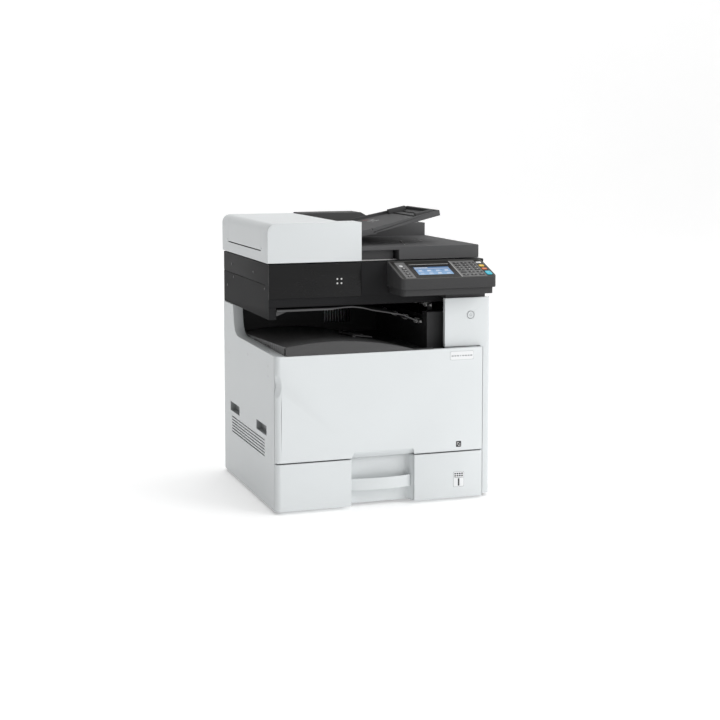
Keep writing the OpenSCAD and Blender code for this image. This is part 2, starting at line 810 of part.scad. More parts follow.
module scanner_tub() {
  color(dark)
    difference() {
      union() {
        box(scan_x0, scan_x1, y_scan + thin_t, y_b - 5, z_scan, z_mid);
        box(scan_x0, scan_x0 + skirt_w, y_scan, y_b - 5, z_skirt, z_scan + eps);
        box(scan_x0 + skirt_w, scan_x1, y_b - 8, y_b - 5, z_skirt + 1, z_scan + eps);
        side([[y_scan, z_scan + 22], [y_scan + 14, z_scan], [y_scan + 14, z_scan + 22]], scan_x0, gloss_x);
      }
      box(scan_x0 + scan_t, scan_x1 - scan_t, y_scan + 14, y_b - 5 - scan_t, z_scan + scan_t, z_mid + 1);
      box(scan_x0 - 1, scan_x0 + skirt_w - scan_t, y_scan + 4, y_b - 4, z_skirt - 1, z_scan - 2);
    }
  color(dark) {
    box(scan_x0, scan_x0 + scan_t, y_scan, y_b - 5, z_skirt, z_scan);
    box(scan_x0 + 6, scan_x1 - 6, glass_y0 - 8, glass_y0 - 4, z_scan + 1, z_mid + 8);
    box(scan_x0 + 6, scan_x1 - 6, glass_y1 + 4, glass_y1 + 8, z_scan + 1, z_mid + 8);
  }
}

module scanner_front() {
  color(black)
    box(scan_x0, gloss_x - part_gap, y_scan, y_scan + thin_t, z_scan + 22, z_glass);
}

lid_px = y_b - 6.5;
lid_pz = z_adf + 4;
lid_pin = 2.5;
lid_w = 30;
lid_x1 = x_l + 66;
lid_x2 = x_r - 96;

module lid_lug(x) {
  difference() {
    union() {
      rod_x(lid_px, lid_pz, 4.5, x, x + lid_w);
      box(x, x + lid_w, lid_px - 3, lid_px + 4.5, z_glass - 1, lid_pz);
    }
    rod_x(lid_px, lid_pz, lid_pin + run_fit, x - 1, x + lid_w + 1);
  }
}

module scanner_top() {
  color(dark) {
    difference() {
      box(scan_x0, scan_x1, y_scan + thin_t, y_b - 5, z_mid + 0.8, z_glass);
      box(scan_x0 + scan_t, scan_x1 - scan_t, y_scan + thin_t + 3, y_b - 5 - scan_t, z_mid, z_glass - scan_t);
      box(slit_x0, slit_x1, glass_y0, glass_y1, z_mid, z_glass + 1);
      box(glass_x0, glass_x1, glass_y0, glass_y1, z_mid, z_glass + 1);
    }
    difference() {
      union() {
        box(slit_x0 - 4, slit_x1 + 4, glass_y0 - 4, glass_y1 + 4, z_glass - glass_t - 3, z_glass - glass_t);
        box(glass_x0 - 4, glass_x1 + 4, glass_y0 - 4, glass_y1 + 4, z_glass - glass_t - 3, z_glass - glass_t);
        box(slit_x0 - 4, glass_x1 + 4, glass_y0 - 4, glass_y0, z_glass - glass_t - 3, z_glass - 1);
        box(slit_x0 - 4, glass_x1 + 4, glass_y1, glass_y1 + 4, z_glass - glass_t - 3, z_glass - 1);
      }
      box(slit_x0 + 3, slit_x1 - 3, glass_y0 + 3, glass_y1 - 3, z_mid, z_glass);
      box(glass_x0 + 3, glass_x1 - 3, glass_y0 + 3, glass_y1 - 3, z_mid, z_glass);
    }
    box(scan_x0, scan_x0 + scan_t, y_scan + thin_t, y_scan + 38, z_mid, z_mid + 1);
    box(scan_x1 - scan_t, scan_x1, y_scan + thin_t, y_b - 5, z_mid, z_mid + 1);
    box(gloss_x, scan_x1, y_scan, y_scan + thin_t, z_scan + 23, z_glass);
    lid_lug(lid_x1);
    lid_lug(lid_x2);
  }
}

module platen_glass() {
  color([0.6, 0.75, 0.75]) {
    box(slit_x0 + key_gap, slit_x1 - key_gap, glass_y0 + key_gap, glass_y1 - key_gap, z_glass - glass_t, z_glass - 1);
    box(glass_x0 + key_gap, glass_x1 - key_gap, glass_y0 + key_gap, glass_y1 - key_gap, z_glass - glass_t, z_glass - 1);
  }
}

module scan_carriage() {
  z = z_mid + 8 + slide_gap;
  color(black)
    difference() {
      box(car_x, car_x + car_w, glass_y0 - 10, glass_y1 + 10, z, z_glass - 9);
      box(car_x + 6, car_x + car_w - 6, glass_y0 + 4, glass_y1 - 4, z_glass - 16, z_glass - 8);
    }
}

// ---- document feeder ----
white_x1 = x_l + feeder_w;
top_x1 = x_l + 205;
strip_y = y_scan + 66;
strip_y2 = y_b - 70;
adf_back = y_b - 3;
flap_z = z_adf + 29.5;
flap_seam = 2.8;
flap_px = x_l + 5;
flap_pin = 2;
lid_top = z_adf + 33.5;
lid_x = x_l + 354;
lid_y = y_scan + 9;
roll_z = z_top - 30;
pick_x = x_l + 178;
pick_r = 10;
roll_x = x_l + 140;
roll_r = 12;

module shoulder(t) {
  translate([x_l + shoulder_r, z_top - shoulder_r])
    circle(shoulder_r - t);
  translate([x_l + t, z_adf - 1])
    square([shoulder_r, adf_h + 1 - shoulder_r]);
  translate([x_l + shoulder_r, z_adf - 1])
    square([feeder_w - shoulder_r - t, adf_h + 1 - t]);
}

module shoulder_body(t, y0, y1) {
  translate([0, y1, 0])
    rotate([90, 0, 0])
      linear_extrude(y1 - y0)
        shoulder(t);
}

module adf_cover() {
  color(white)
    difference() {
      shoulder_body(0, y_scan, adf_back);
      shoulder_body(thin_t, y_scan + thin_t, adf_back - thin_t);
      box(x_l - 1, x_r, y_scan - 1, adf_back + 1, z_adf - 2, z_adf);
      box(top_x1 + part_gap, x_r, strip_y, adf_back + 1, z_adf - 2, z_top + 1);
      box(x_l - 1, x_r, strip_y, strip_y2, flap_z - flap_seam, z_top + 1);
      for (y = [strip_y - 9, strip_y2 + 4])
        box(x_l - 1, x_l + thin_t + 1, y, y + 5, flap_z + 4, flap_z + 7);
      lid_cut(lid_x1, 6);
    }
}

module adf_top_cover() {
  color(white) {
    difference() {
      shoulder_body(0, strip_y + part_gap, strip_y2 - part_gap);
      shoulder_body(thin_t, strip_y - 1, strip_y2 + 1);
      box(x_l - 1, x_r, strip_y, strip_y2, z_adf - 2, flap_z);
      box(top_x1, x_r, strip_y, strip_y2, z_adf - 2, z_top + 1);
    }
    for (y = [strip_y + 2, strip_y2 - 5])
      difference() {
        union() {
          rod_y(flap_px, flap_z + 4, 3.5, y, y + 3);
          box(x_l + 1, flap_px, y, y + 3, flap_z + 1.5, flap_z + 8);
        }
      }
    for (y = [strip_y - 2, strip_y2 - 5])
      rod_y(flap_px, flap_z + 4, flap_pin, y, y + 7);
  }
}

module shaft_plate(y) {
  difference() {
    box(x_l + 4, top_x1 - 4, y, y + 3, z_adf + 7, z_top - 17);
    rod_y(pick_x, roll_z, shaft_r + run_fit, y - 1, y + 4);
    rod_y(roll_x, roll_z, shaft_r + run_fit, y - 1, y + 4);
    rod_y(flap_px, flap_z + 4, flap_pin + run_fit, y - 1, y + 4);
  }
}

module lid_cut(x, side_gap) {
  box(x - side_gap, x + lid_w + side_gap, lid_px - 5.5, y_b, z_adf - 1, lid_pz + 6);
}

module adf_base() {
  color(dark)
    difference() {
      union() {
        box(x_l + 3, white_x1 - 3, y_scan + 3, adf_back - 3, z_adf, z_adf + 7);
        shaft_plate(strip_y - 3);
        shaft_plate(strip_y2);
        difference() {
          box(lid_x, x_r - 13, lid_y, adf_back, z_adf, lid_top);
          box(lid_x + 3, x_r - 16, lid_y + 3, adf_back - 3, z_adf + 8, lid_top - 3);
        }
        box(white_x1 + 3, lid_x + 1, lid_y, strip_y2, lid_top - 8, lid_top);
        box(white_x1 + 1, lid_x - 8, lid_y + 22, strip_y2, z_adf, lid_top - 7);
        box(white_x1 - 4, white_x1 + 2, strip_y + 2, strip_y2, z_adf, lid_top - 7);
        box(white_x1 - 4, lid_x + 1, strip_y2 - 1, adf_back, z_adf, lid_top);
        box(top_x1 + 1, white_x1 - 4, strip_y + 2, strip_y2, z_adf + 6, z_adf + 52);
        difference() {
          front([[top_x1 + 1, z_adf + 40], [white_x1, z_adf + 52], [dt_x - 5, z_adf + 62.4],
            [dt_x - 5, z_adf + 76.6], [white_x1, z_adf + 66.8], [top_x1 + 1, z_adf + 58]], dt_y - 4.5, dt_y2 + 4.5);
          box(top_x1 + 2, white_x1 + 1, dt_y - 5, strip_y + 1, z_adf, z_top);
        }
        for (y = [dt_y - 4.5, dt_y2 + 1])
          box(dt_x - 12, dt_x + hinge_in + 5, y, y + 3.5, z_adf + 62, dt_z - hinge_dn + 5);
        front([[top_x1 + 1, z_adf + 5], [top_x1 + 1, z_top + 3], [x_mid + 130, z_top + 3], [x_mid + 190, z_top - 30],
          [x_r - 16, z_top - 30], [x_r - 16, z_adf + 5]], strip_y2 - 20, adf_back - 3.5);
      }
      front([[top_x1 + 8, z_adf + 9], [top_x1 + 8, z_top], [x_mid + 129, z_top], [x_mid + 189, z_top - 33],
        [x_r - 19, z_top - 33], [x_r - 19, z_adf + 9]], strip_y2 - 17, adf_back - 7);
      lid_cut(lid_x1, part_gap);
      lid_cut(lid_x2, part_gap);
      rod_y(dt_x + hinge_in, dt_z - hinge_dn, dt_pin + run_fit, dt_y - 6, dt_y + 1);
      rod_y(dt_x + hinge_in, dt_z - hinge_dn, dt_pin + run_fit, dt_y2 - 1, dt_y2 + 6);
    }
  color(dark)
    for (x = [lid_x1, lid_x2])
      rod_x(lid_px, lid_pz, lid_pin, x - 5, x + lid_w + 5);
}

module platen_pad() {
  color(white)
    box(glass_x0 - 2, glass_x1 + 2, glass_y0 - 2, glass_y1 + 2, z_glass + 0.5, z_adf);
}

module adf_pickup_roller() {
  color(rubber)
    union() {
      rod_y(pick_x, roll_z, pick_r, 20, 60);
      rod_y(pick_x, roll_z, shaft_r, strip_y - 4, strip_y2 + 4);
    }
}

module adf_feed_roller() {
  color(rubber)
    union() {
      rod_y(roll_x, roll_z, roll_r, 10, 70);
      rod_y(roll_x, roll_z, shaft_r, strip_y - 4, strip_y2 + 4);
    }
}

dt_x = x_l + 303;
hinge_in = 6;
hinge_dn = 9.7;
dt_pin = 2;
dt_y = y_scan + 74;
dt_len = 213;
dt_z = z_adf + 77.7;
dt_y2 = strip_y2 - 37;
guide_x = 145;
guide_w = 52;
guide_t = 12;
guide_h = 12.4;
pan_t = 1.5;
guide_y1 = dt_y + 54;
guide_y2 = dt_y2 - 32;
floor_d = 8;

// Frame lying on the top of the document tray
module tray_frame() {
  translate([dt_x, 0, dt_z])
    rotate([0, -tray_tilt, 0])
      children();
}

module document_tray() {
  color(dark)
    tray_frame()
      difference() {
        plan([[0, dt_y], [dt_len, dt_y + 50], [dt_len, dt_y2 - 8], [0, dt_y2]], -tray_t, 0);
        plan([[-1, dt_y + 7], [dt_len - 7, dt_y + 55], [dt_len - 7, dt_y2 - 15], [-1, dt_y2 - 7]], -floor_d, 1);
        translate([guide_x + 4, guide_y1 - 4, -tray_t + pan_t])
          cube([guide_w - 8, guide_y2 - guide_y1 + guide_t + 8, tray_t - floor_d - pan_t - 3]);
        for (x = [10, 34])
          translate([guide_x + x, guide_y1, -tray_t + pan_t + 1])
            cube([8, guide_y2 - guide_y1 + guide_t, tray_t]);
      }
  color(dark)
    rod_y(dt_x + hinge_in, dt_z - hinge_dn, dt_pin, dt_y - 4, dt_y2 + 4);
}

module doc_guide(y, stem_x) {
  tray_frame() {
    translate([guide_x, y, -floor_d + slide_gap])
      cube([guide_w, guide_t, guide_h]);
    translate([stem_x + key_gap, y, -tray_t + pan_t + 0.5])
      cube([8 - 2 * key_gap, guide_t, tray_t - floor_d]);
    translate([stem_x - 1, y, -tray_t + pan_t + 0.5])
      cube([10, guide_t, 2]);
  }
}

module doc_guide_front() {
  color(dark)
    doc_guide(guide_y1, guide_x + 10);
}

module doc_guide_rear() {
  color(dark)
    doc_guide(guide_y2, guide_x + 34);
}

// ---- operation panel ----
panel_x0 = x_r - 13 - panel_w;
panel_x1 = x_r - 13;
panel_z = z_mid + 17.5;
panel_len = (y_scan - y_f) / cos(panel_tilt);
plan_r = 12;
lcd_x = panel_x0 + 56;
lcd_w = 96;
lcd_y = 25;
lcd_h = 48;
lcd_d = 1.6;
key_h = 3.5;
key_up = 1;
pad_x = [181, 203, 225];
pad_y = [17, 34, 49, 63, 77, 91];
pad_w = 15;
pad_h = 8;
fn_y = [17.5, 34, 49, 63.5];
side_x = 245;
side_w = 14;

// Frame lying on the sloping face of the panel
module panel_frame() {
  translate([panel_x0, y_f, panel_z])
    rotate([panel_tilt, 0, 0])
      children();
}

module key_block(x, y, w, h, top) {
  panel_frame()
    translate([x - w / 2, y - h / 2, -key_h])
      cube([w, h, key_h + top]);
}

module key_well(x, y, w, h) {
  translate([x - w / 2 - key_gap, y - h / 2 - key_gap, -key_h - key_travel - key_gap])
    cube([w + 2 * key_gap, h + 2 * key_gap, 20]);
}

module panel_shape(y0, z0, inset) {
  translate([panel_x0 + inset, y0, z0])
    linear_extrude(120) {
      translate([plan_r, 0])
        square([panel_w - 2 * inset - 2 * plan_r, y_scan - y0]);
      translate([0, plan_r])
        square([panel_w - 2 * inset, y_scan - y0 - plan_r]);
      translate([plan_r, plan_r])
        circle(plan_r);
      translate([panel_w - 2 * inset - plan_r, plan_r])
        circle(plan_r);
    }
}

module operation_panel() {
  color(dark)
    difference() {
      union() {
        intersection() {
          panel_shape(y_f, panel_z - 27, 0);
          side([[y_f - 1, panel_z - 27], [y_f - 1, panel_z - tan(panel_tilt)], [y_f, panel_z],
            [y_scan, panel_z + (y_scan - y_f) * tan(panel_tilt)], [y_scan, panel_z - 27]], panel_x0 - 1, panel_x1 + 1);
        }
        intersection() {
          panel_shape(y_f + 8, panel_z - 44, 5);
          box(panel_x0, panel_x1, y_f, y_scan, panel_z - 44, panel_z - 26);
        }
        box(x_col + 4, panel_x1 - 4, y_col + 4, y_scan - part_gap, col_top, panel_z - 43);
      }
      box(panel_x0 + 8, panel_x1 - 8, y_f + 12, y_scan - 6, panel_z - 40, panel_z - 12);
      panel_frame() {
        translate([lcd_x - panel_x0, lcd_y, -lcd_d])
          cube([lcd_w, lcd_h, 20]);
        for (x = pad_x)
          for (y = pad_y)
            key_well(x, y, pad_w, pad_h);
        for (y = fn_y)
          key_well(28.5, y, 12, 8);
        translate([26.5, 84.5, -key_h - key_travel - key_gap])
          cylinder(r = 6 + key_gap, h = 20);
        key_well(side_x, 91, side_w, 9);
        key_well(side_x, 70, side_w, 12);
        key_well(side_x, 50.5, side_w, 10);
        key_well(side_x + 1, 24, side_w + 2, 22);
      }
    }
}

module lcd_screen() {
  color([0.3, 0.5, 0.8])
    panel_frame()
      translate([lcd_x - panel_x0 + key_gap, lcd_y + key_gap, -lcd_d])
        cube([lcd_w - 2 * key_gap, lcd_h - 2 * key_gap, lcd_d - 0.4]);
}

module home_key() {
  color(white)
    panel_frame()
      translate([26.5, 84.5, -key_h])
        cylinder(r = 6, h = key_h + key_up);
}

module function_keys() {
  color(dark)
    for (y = fn_y)
      key_block(28.5, y, 12, 8, key_up);
}

module number_keys() {
  color(dark)
    for (x = pad_x)
      for (y = pad_y)
        key_block(x, y, pad_w, pad_h, key_up);
}

module energy_key() {
  color(white)
    key_block(side_x, 91, side_w, 9, key_up);
}

module reset_key() {
  color([0.95, 0.80, 0.10])
    key_block(side_x, 70, side_w, 12, key_up);
}

module stop_key() {
  color([0.85, 0.35, 0.12])
    key_block(side_x, 50.5, side_w, 10, key_up);
}

module start_key() {
  color([0.20, 0.70, 0.80])
    key_block(side_x + 1, 24, side_w + 2, 22, key_up + 0.5);
}

// ---- paper drawer ----
box_t = 2.5;
box_z = z_0 + 6;
box_y1 = y_plate - 30;
floor_z = box_z + box_t;
pin_x = x_l + 335;
pin_y = 8.75;
guide_lo = pin_y - 157.5;
guide_hi = pin_y + 155;
tooth = 2 * PI * pinion_r / pinion_n;
lift_px = x_l + 193;
lift_z = floor_z + 5.5;
lift_pin = 1.5;
lip_r = 282.8;
lip_z = z_0 + 37;

module cassette_front() {
  depth = corner_r - 1;
  color(white) {
    difference() {
      union() {
        corner_skin(x_l, x_cov, y_cov, depth, corner_r, thin_t, z_0, z_dr);
        for (z = [z_0, z_dr - thin_t]) {
          corner_slab(x_l, x_cov, y_cov, depth, corner_r, z, z + thin_t);
          box(box_x0, x_cov - 14, y_cov + depth - 1, y_fr, z, z + thin_t);
        }
      }
      plan([[well_x0, y_cov - 1], [well_x0, y_fr - thin_t], [well_x1 - 14, y_fr - thin_t], [well_x1 - 9, y_fr - 6],
        [well_x1, y_cov - 1]], z_0 - 1, z_dr + 1);
      plan([[x_cov + 1, y_cov - 1], [x_cov - 1.4, y_cov - 1], [x_cov + 1, y_cov + 1.4]], z_0 - 1, z_dr + 1);
      side([[y_cov - 1, z_dr + 1], [y_cov + 1, z_dr + 1], [y_cov - 1, z_dr - 1]], x_l - 1, x_cov + 1);
    }
    plan([[well_x0 - thin_t, y_cov + 1], [well_x0, y_cov + 1], [well_x0, y_fr - thin_t], [well_x1 - 14, y_fr - thin_t],
      [well_x1 - 9, y_fr - 6], [well_x1, y_cov], [well_x1 + thin_t, y_cov + 1], [well_x1 - 6, y_fr - 4],
      [well_x1 - 11, y_fr], [well_x0 - thin_t, y_fr]], z_0, z_dr);
    difference() {
      intersection() {
        rod_z((well_x0 + well_x1) / 2 - 2, y_cov + 2 + lip_r, lip_r, lip_z, lip_z + lip_h);
        box(well_x0 + 2, well_x1 - 6, y_cov, y_fr - 1, lip_z, lip_z + lip_h);
      }
      intersection() {
        rod_z((well_x0 + well_x1) / 2 - 2, y_cov + 2 + lip_r, lip_r - 3, lip_z + 3, lip_z + lip_h + 1);
        box(well_x0 + 5, well_x1 - 15, y_cov, y_fr - thin_t, lip_z + 3, lip_z + lip_h + 1);
      }
      box(well_x1 - 9, well_x1, y_cov, y_cov + 10, lip_z - 1, lip_z + lip_h + 1);
    }
  }
}

module cassette_tray() {
  color(grey) {
    difference() {
      box(box_x0, box_x1, y_fr, box_y1, box_z, box_z + box_h);
      box(box_x0 + box_t, box_x1 - box_t, y_fr + box_t, box_y1 - box_t, floor_z, box_z + box_h + 1);
    }
    box(box_x0, box_x1, y_fr, y_fr + box_t, box_z, z_dr - 6);
    box(frame_x0 + sheet_t + part_gap, box_x0 + eps, y_fr + 18, box_y1 - 4,
      ledge_z + ledge_h + slide_gap, ledge_z + ledge_h + slide_gap + 4);
    box(box_x1 - eps, x_plate - part_gap, y_fr + 18, box_y1 - 4,
      ledge_z + ledge_h + slide_gap, ledge_z + ledge_h + slide_gap + 4);
    rod_z(pin_x, pin_y, 2.5, floor_z - 1, floor_z + 3.8);
    for (y = [pin_y - 104, pin_y + 98])
      difference() {
        box(lift_px - 4, lift_px + 4, y, y + 4, floor_z - eps, lift_z + 4);
        rod_y(lift_px, lift_z, lift_pin + run_fit, y - 1, y + 5);
      }
  }
}

module lift_plate() {
  color(steel) {
    box(lift_px, box_x1 - 15, pin_y - 96, pin_y + 94, lift_z - 0.8, lift_z + 0.8);
    rod_y(lift_px, lift_z, 2.2, pin_y - 96, pin_y + 94);
    rod_y(lift_px, lift_z, lift_pin, pin_y - 104, pin_y + 102);
  }
}

module rack_teeth(x, dir, n, y0) {
  for (i = [0 : n - 1])
    translate([x, y0 + i * tooth, floor_z + slide_gap])
      linear_extrude(2.8)
        polygon([[-dir * 1.7, -tooth * 0.26], [dir * 1.1, -tooth * 0.09], [dir * 1.1, tooth * 0.09],
          [-dir * 1.7, tooth * 0.26]]);
}

module side_guide_front() {
  color(grey) {
    box(pin_x - 70, pin_x + 100, guide_lo, guide_lo + box_t, floor_z + slide_gap, box_z + box_h - 4);
    box(pin_x - pinion_r - 9, pin_x - pinion_r - 1.6, guide_lo, pin_y + 26, floor_z + slide_gap,
      floor_z + slide_gap + 2.8);
    rack_teeth(pin_x - pinion_r, 1, 19, pin_y - 13.5 * tooth);
  }
}

module side_guide_rear() {
  color(grey) {
    box(pin_x - 70, pin_x + 100, guide_hi, guide_hi + box_t, floor_z + slide_gap, box_z + box_h - 4);
    box(pin_x + pinion_r + 1.6, pin_x + pinion_r + 9, pin_y - 26, guide_hi + 1, floor_z + slide_gap,
      floor_z + slide_gap + 2.8);
    rack_teeth(pin_x + pinion_r, -1, 19, pin_y - 4.5 * tooth);
  }
}

module cassette_pinion() {
  color(white)
    difference() {
      translate([pin_x, pin_y, floor_z + slide_gap])
        union() {
          cylinder(r = pinion_r - 1.7, h = 2.8);
          for (i = [0 : pinion_n - 1])
            rotate([0, 0, i * 360 / pinion_n])
              translate([pinion_r, 0, 0])
                linear_extrude(2.8)
                  polygon([[-2, -tooth * 0.24], [1.1, -tooth * 0.09], [1.1, tooth * 0.09], [-2, tooth * 0.24]]);
        }
      rod_z(pin_x, pin_y, 2.5 + run_fit, floor_z - 1, floor_z + 5);
    }
}

module end_guide() {
  color(grey)
    union() {
      box(x_l + 80, x_l + 82.5, pin_y - 48, pin_y + 48, floor_z + slide_gap, box_z + box_h - 8);
      box(x_l + 60, x_l + 81, pin_y - 20, pin_y + 20, floor_z + slide_gap, floor_z + 4);
    }
}

module feed_roller() {
  color(rubber)
    union() {
      rod_y(feed_x, feed_z, feed_r, feed_y0 + 30, feed_y0 + 52);
      rod_y(feed_x, feed_z, feed_r, feed_y0 + 68, feed_y0 + 90);
      rod_y(feed_x, feed_z, shaft_r, feed_y0 - 3, feed_y1 + 3);
    }
}

// ---- engine parts ----
unit_z = z_shelf + sheet_t + 48;
unit_w = 76;
bottle_z = rack_z + sheet_t + 32;
fuse_x = x_mid + 235;
fuse_z = rack_z + sheet_t + 36;
fuse_x2 = x_mid + 301;
fuse_y0 = y_in + 76;
fuse_y1 = y_plate - 72;
hot_x = x_mid + 253.7;
press_x = hot_x + 2 * fuser_r + nip_gap;
fuse_shaft = 5;

function bottle_x(i) = x_mid - 145 + i * colour_pitch;
function unit_x(i) = x_mid - 145 + i * colour_pitch;

module laser_unit() {
  color(dark)
    difference() {
      box(x_mid - 190, x_mid + 195, y_in + 76, y_plate - 72, z_shelf + sheet_t, unit_z);
      for (i = [0 : 3])
        box(unit_x(i) + 24, unit_x(i) + 30, y_in + 100, y_plate - 96, unit_z - 4, unit_z + 1);
    }
}

module process_units() {
  color(dark)
    for (i = [0 : 3]) {
      difference() {
        box(unit_x(i) - unit_w / 2, unit_x(i) + unit_w / 2, y_in + 12, y_plate - 50, unit_z, belt_z - 16);
        rod_y(unit_x(i), belt_z - drum_r - 1, drum_r + 1, y_in + 30, y_plate - 66);
      }
      rod_y(unit_x(i), belt_z - drum_r - 1, drum_r, y_in + 32, y_plate - 68);
      rod_y(unit_x(i), belt_z - drum_r - 1, 4, y_in + 20, y_plate - 56);
    }
}

module transfer_belt() {
  color(black)
    difference() {
      union() {
        box(x_mid - 170, x_mid + 180, y_in + 30, y_plate - 56, belt_z, belt_z + 32);
        rod_y(x_mid - 170, belt_z + 16, 16, y_in + 30, y_plate - 56);
        rod_y(x_mid + 180, belt_z + 16, 16, y_in + 30, y_plate - 56);
      }
      box(x_mid - 168, x_mid + 178, y_in + 29, y_plate - 55, belt_z + 2, belt_z + 30);
    }
  color(black)
    for (y = [y_in + 24, y_plate - 60])
      box(frame_x0 + sheet_t + 1, belt_x1 + 12, y, y + 8, belt_z + 18, belt_z + 28);
}

module toner_bottles() {
  color(black)
    for (i = [0 : 3]) {
      rod_y(bottle_x(i), bottle_z, bottle_r, y_in - 8, y_plate - 44);
      box(bottle_x(i) - 20, bottle_x(i) + 20, y_in + 12, y_plate - 50, rack_z + sheet_t, bottle_z);
    }
}

module fuser_unit() {
  color(grey)
    difference() {
      box(fuse_x, fuse_x2, fuse_y0 - 8, fuse_y1 + 8, rack_z + sheet_t, z_deck - 6);
      box(fuse_x + 3, fuse_x2 - 3, fuse_y0, fuse_y1, rack_z + sheet_t + 3, z_deck - 9);
      rod_y(hot_x, fuse_z, fuse_shaft + run_fit, fuse_y0 - 9, fuse_y1 + 9);
      rod_y(press_x, fuse_z, fuse_shaft + run_fit, fuse_y0 - 9, fuse_y1 + 9);
      box(hot_x + fuser_r - 5, hot_x + fuser_r + 5, fuse_y0 + 10, fuse_y1 - 10, rack_z, z_deck);
    }
}

module fuser_roller() {
  color(steel)
    union() {
      rod_y(hot_x, fuse_z, fuser_r, fuse_y0 + 2, fuse_y1 - 2);
      rod_y(hot_x, fuse_z, fuse_shaft, fuse_y0 - 9, fuse_y1 + 9);
    }
}

module pressure_roller() {
  color([0.7, 0.3, 0.2])
    union() {
      rod_y(press_x, fuse_z, fuser_r, fuse_y0 + 2, fuse_y1 - 2);
      rod_y(press_x, fuse_z, fuse_shaft, fuse_y0 - 9, fuse_y1 + 9);
    }
}

board_x = x_mid - 175;
board_z = z_0 + 142;

module main_board() {
  y = y_plate + sheet_t;
  color([0.1, 0.4, 0.2]) {
    box(board_x, board_x + 300, y + 4, y + 6, board_z, board_z + 180);
    for (i = [0 : 3])
      box(board_x + 30 + i * 64, board_x + 60 + i * 64, y + 5, y + 12, board_z + 50, board_z + 80);
    for (x = [board_x + 10, board_x + 290])
      for (z = [board_z + 10, board_z + 170])
        rod_y(x, z, 3, y, y + 5);
  }
}

module power_inlet() {
  color(black)
    difference() {
      box(inlet_x - inlet_w / 2 + key_gap, inlet_x + inlet_w / 2 - key_gap, y_plate + sheet_t + 13, y_b - 0.5,
        inlet_z - inlet_h / 2 + key_gap, inlet_z + inlet_h / 2 - key_gap);
      box(inlet_x - inlet_w / 2 + 3, inlet_x + inlet_w / 2 - 3, y_plate + sheet_t + 15, y_b,
        inlet_z - inlet_h / 2 + 3, inlet_z + inlet_h / 2 - 3);
    }
  color(black)
    for (x = [inlet_x - 7, inlet_x, inlet_x + 7])
      box(x - 1, x + 1, y_plate + sheet_t + 14, y_b - 4, inlet_z - 2, inlet_z + 2);
}

module cooling_fan() {
  y = y_plate + sheet_t;
  color(black) {
    difference() {
      box(fan_x - fan_box / 2, fan_x + fan_box / 2, y, y + 22, fan_z - fan_box / 2, fan_z + fan_box / 2);
      rod_y(fan_x, fan_z, fan_r + 1.5, y + 2, y + 23);
    }
    rod_y(fan_x, fan_z, 4, y + 1, y + 18);
  }
}

module fan_rotor() {
  y = y_plate + sheet_t;
  color(dark)
    difference() {
      union() {
        rod_y(fan_x, fan_z, 13, y + 6, y + 19);
        for (i = [0 : 6])
          translate([fan_x, 0, fan_z])
            rotate([0, i * 360 / 7, 0])
              translate([11, y + 8, -1])
                cube([fan_r - 11, 9, 2]);
      }
      rod_y(fan_x, fan_z, 4 + run_fit, y, y + 20);
    }
}

main_frame();
rubber_feet();
left_cover();
cover_screws();
rear_cover();
right_cover();
right_column();
power_button();
front_cover();
inner_cover();
right_door();
mp_tray();
output_tray();
paper_stopper();
exit_housing();
lower_exit_roller();
upper_exit_roller();
job_tray();
scanner_tub();
scanner_front();
scanner_top();
platen_glass();
scan_carriage();
adf_base();
platen_pad();
adf_cover();
adf_top_cover();
adf_pickup_roller();
adf_feed_roller();
document_tray();
doc_guide_front();
doc_guide_rear();
operation_panel();
lcd_screen();
home_key();
function_keys();
number_keys();
energy_key();
reset_key();
stop_key();
start_key();
cassette_front();
cassette_tray();
lift_plate();
side_guide_front();
side_guide_rear();
cassette_pinion();
end_guide();
feed_roller();
laser_unit();
process_units();
transfer_belt();
toner_bottles();
fuser_unit();
fuser_roller();
pressure_roller();
main_board();
power_inlet();
cooling_fan();
fan_rotor();
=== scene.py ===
import json
import math

import bmesh
import bpy
import numpy as np
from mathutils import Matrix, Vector

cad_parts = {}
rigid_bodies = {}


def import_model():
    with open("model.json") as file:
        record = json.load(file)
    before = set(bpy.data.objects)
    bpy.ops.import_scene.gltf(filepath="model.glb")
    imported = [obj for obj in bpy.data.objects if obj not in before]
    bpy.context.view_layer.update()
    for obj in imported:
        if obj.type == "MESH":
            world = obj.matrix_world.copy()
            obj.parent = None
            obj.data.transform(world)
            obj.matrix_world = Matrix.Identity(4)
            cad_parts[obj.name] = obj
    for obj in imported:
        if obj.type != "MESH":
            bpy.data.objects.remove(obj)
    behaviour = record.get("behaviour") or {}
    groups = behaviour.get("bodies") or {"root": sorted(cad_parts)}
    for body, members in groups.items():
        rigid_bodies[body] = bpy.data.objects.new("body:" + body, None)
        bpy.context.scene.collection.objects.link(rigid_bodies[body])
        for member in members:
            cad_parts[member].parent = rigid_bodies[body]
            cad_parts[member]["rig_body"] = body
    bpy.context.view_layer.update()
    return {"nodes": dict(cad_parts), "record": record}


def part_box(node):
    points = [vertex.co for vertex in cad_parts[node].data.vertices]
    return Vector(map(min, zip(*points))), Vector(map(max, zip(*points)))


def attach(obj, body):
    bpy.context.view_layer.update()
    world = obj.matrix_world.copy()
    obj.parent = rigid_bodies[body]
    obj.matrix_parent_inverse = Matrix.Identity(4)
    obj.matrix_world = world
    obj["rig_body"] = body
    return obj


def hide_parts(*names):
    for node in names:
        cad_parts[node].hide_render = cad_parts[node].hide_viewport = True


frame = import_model()

bl_info = {
    "name": "Desktop photocopier",
    "version": (1, 0, 0),
    "blender": (4, 5, 0),
    "location": "View3D > Sidebar > Photocopier",
    "description": "Finishes, printed marks and studio for a desktop photocopier",
    "category": "Object",
}

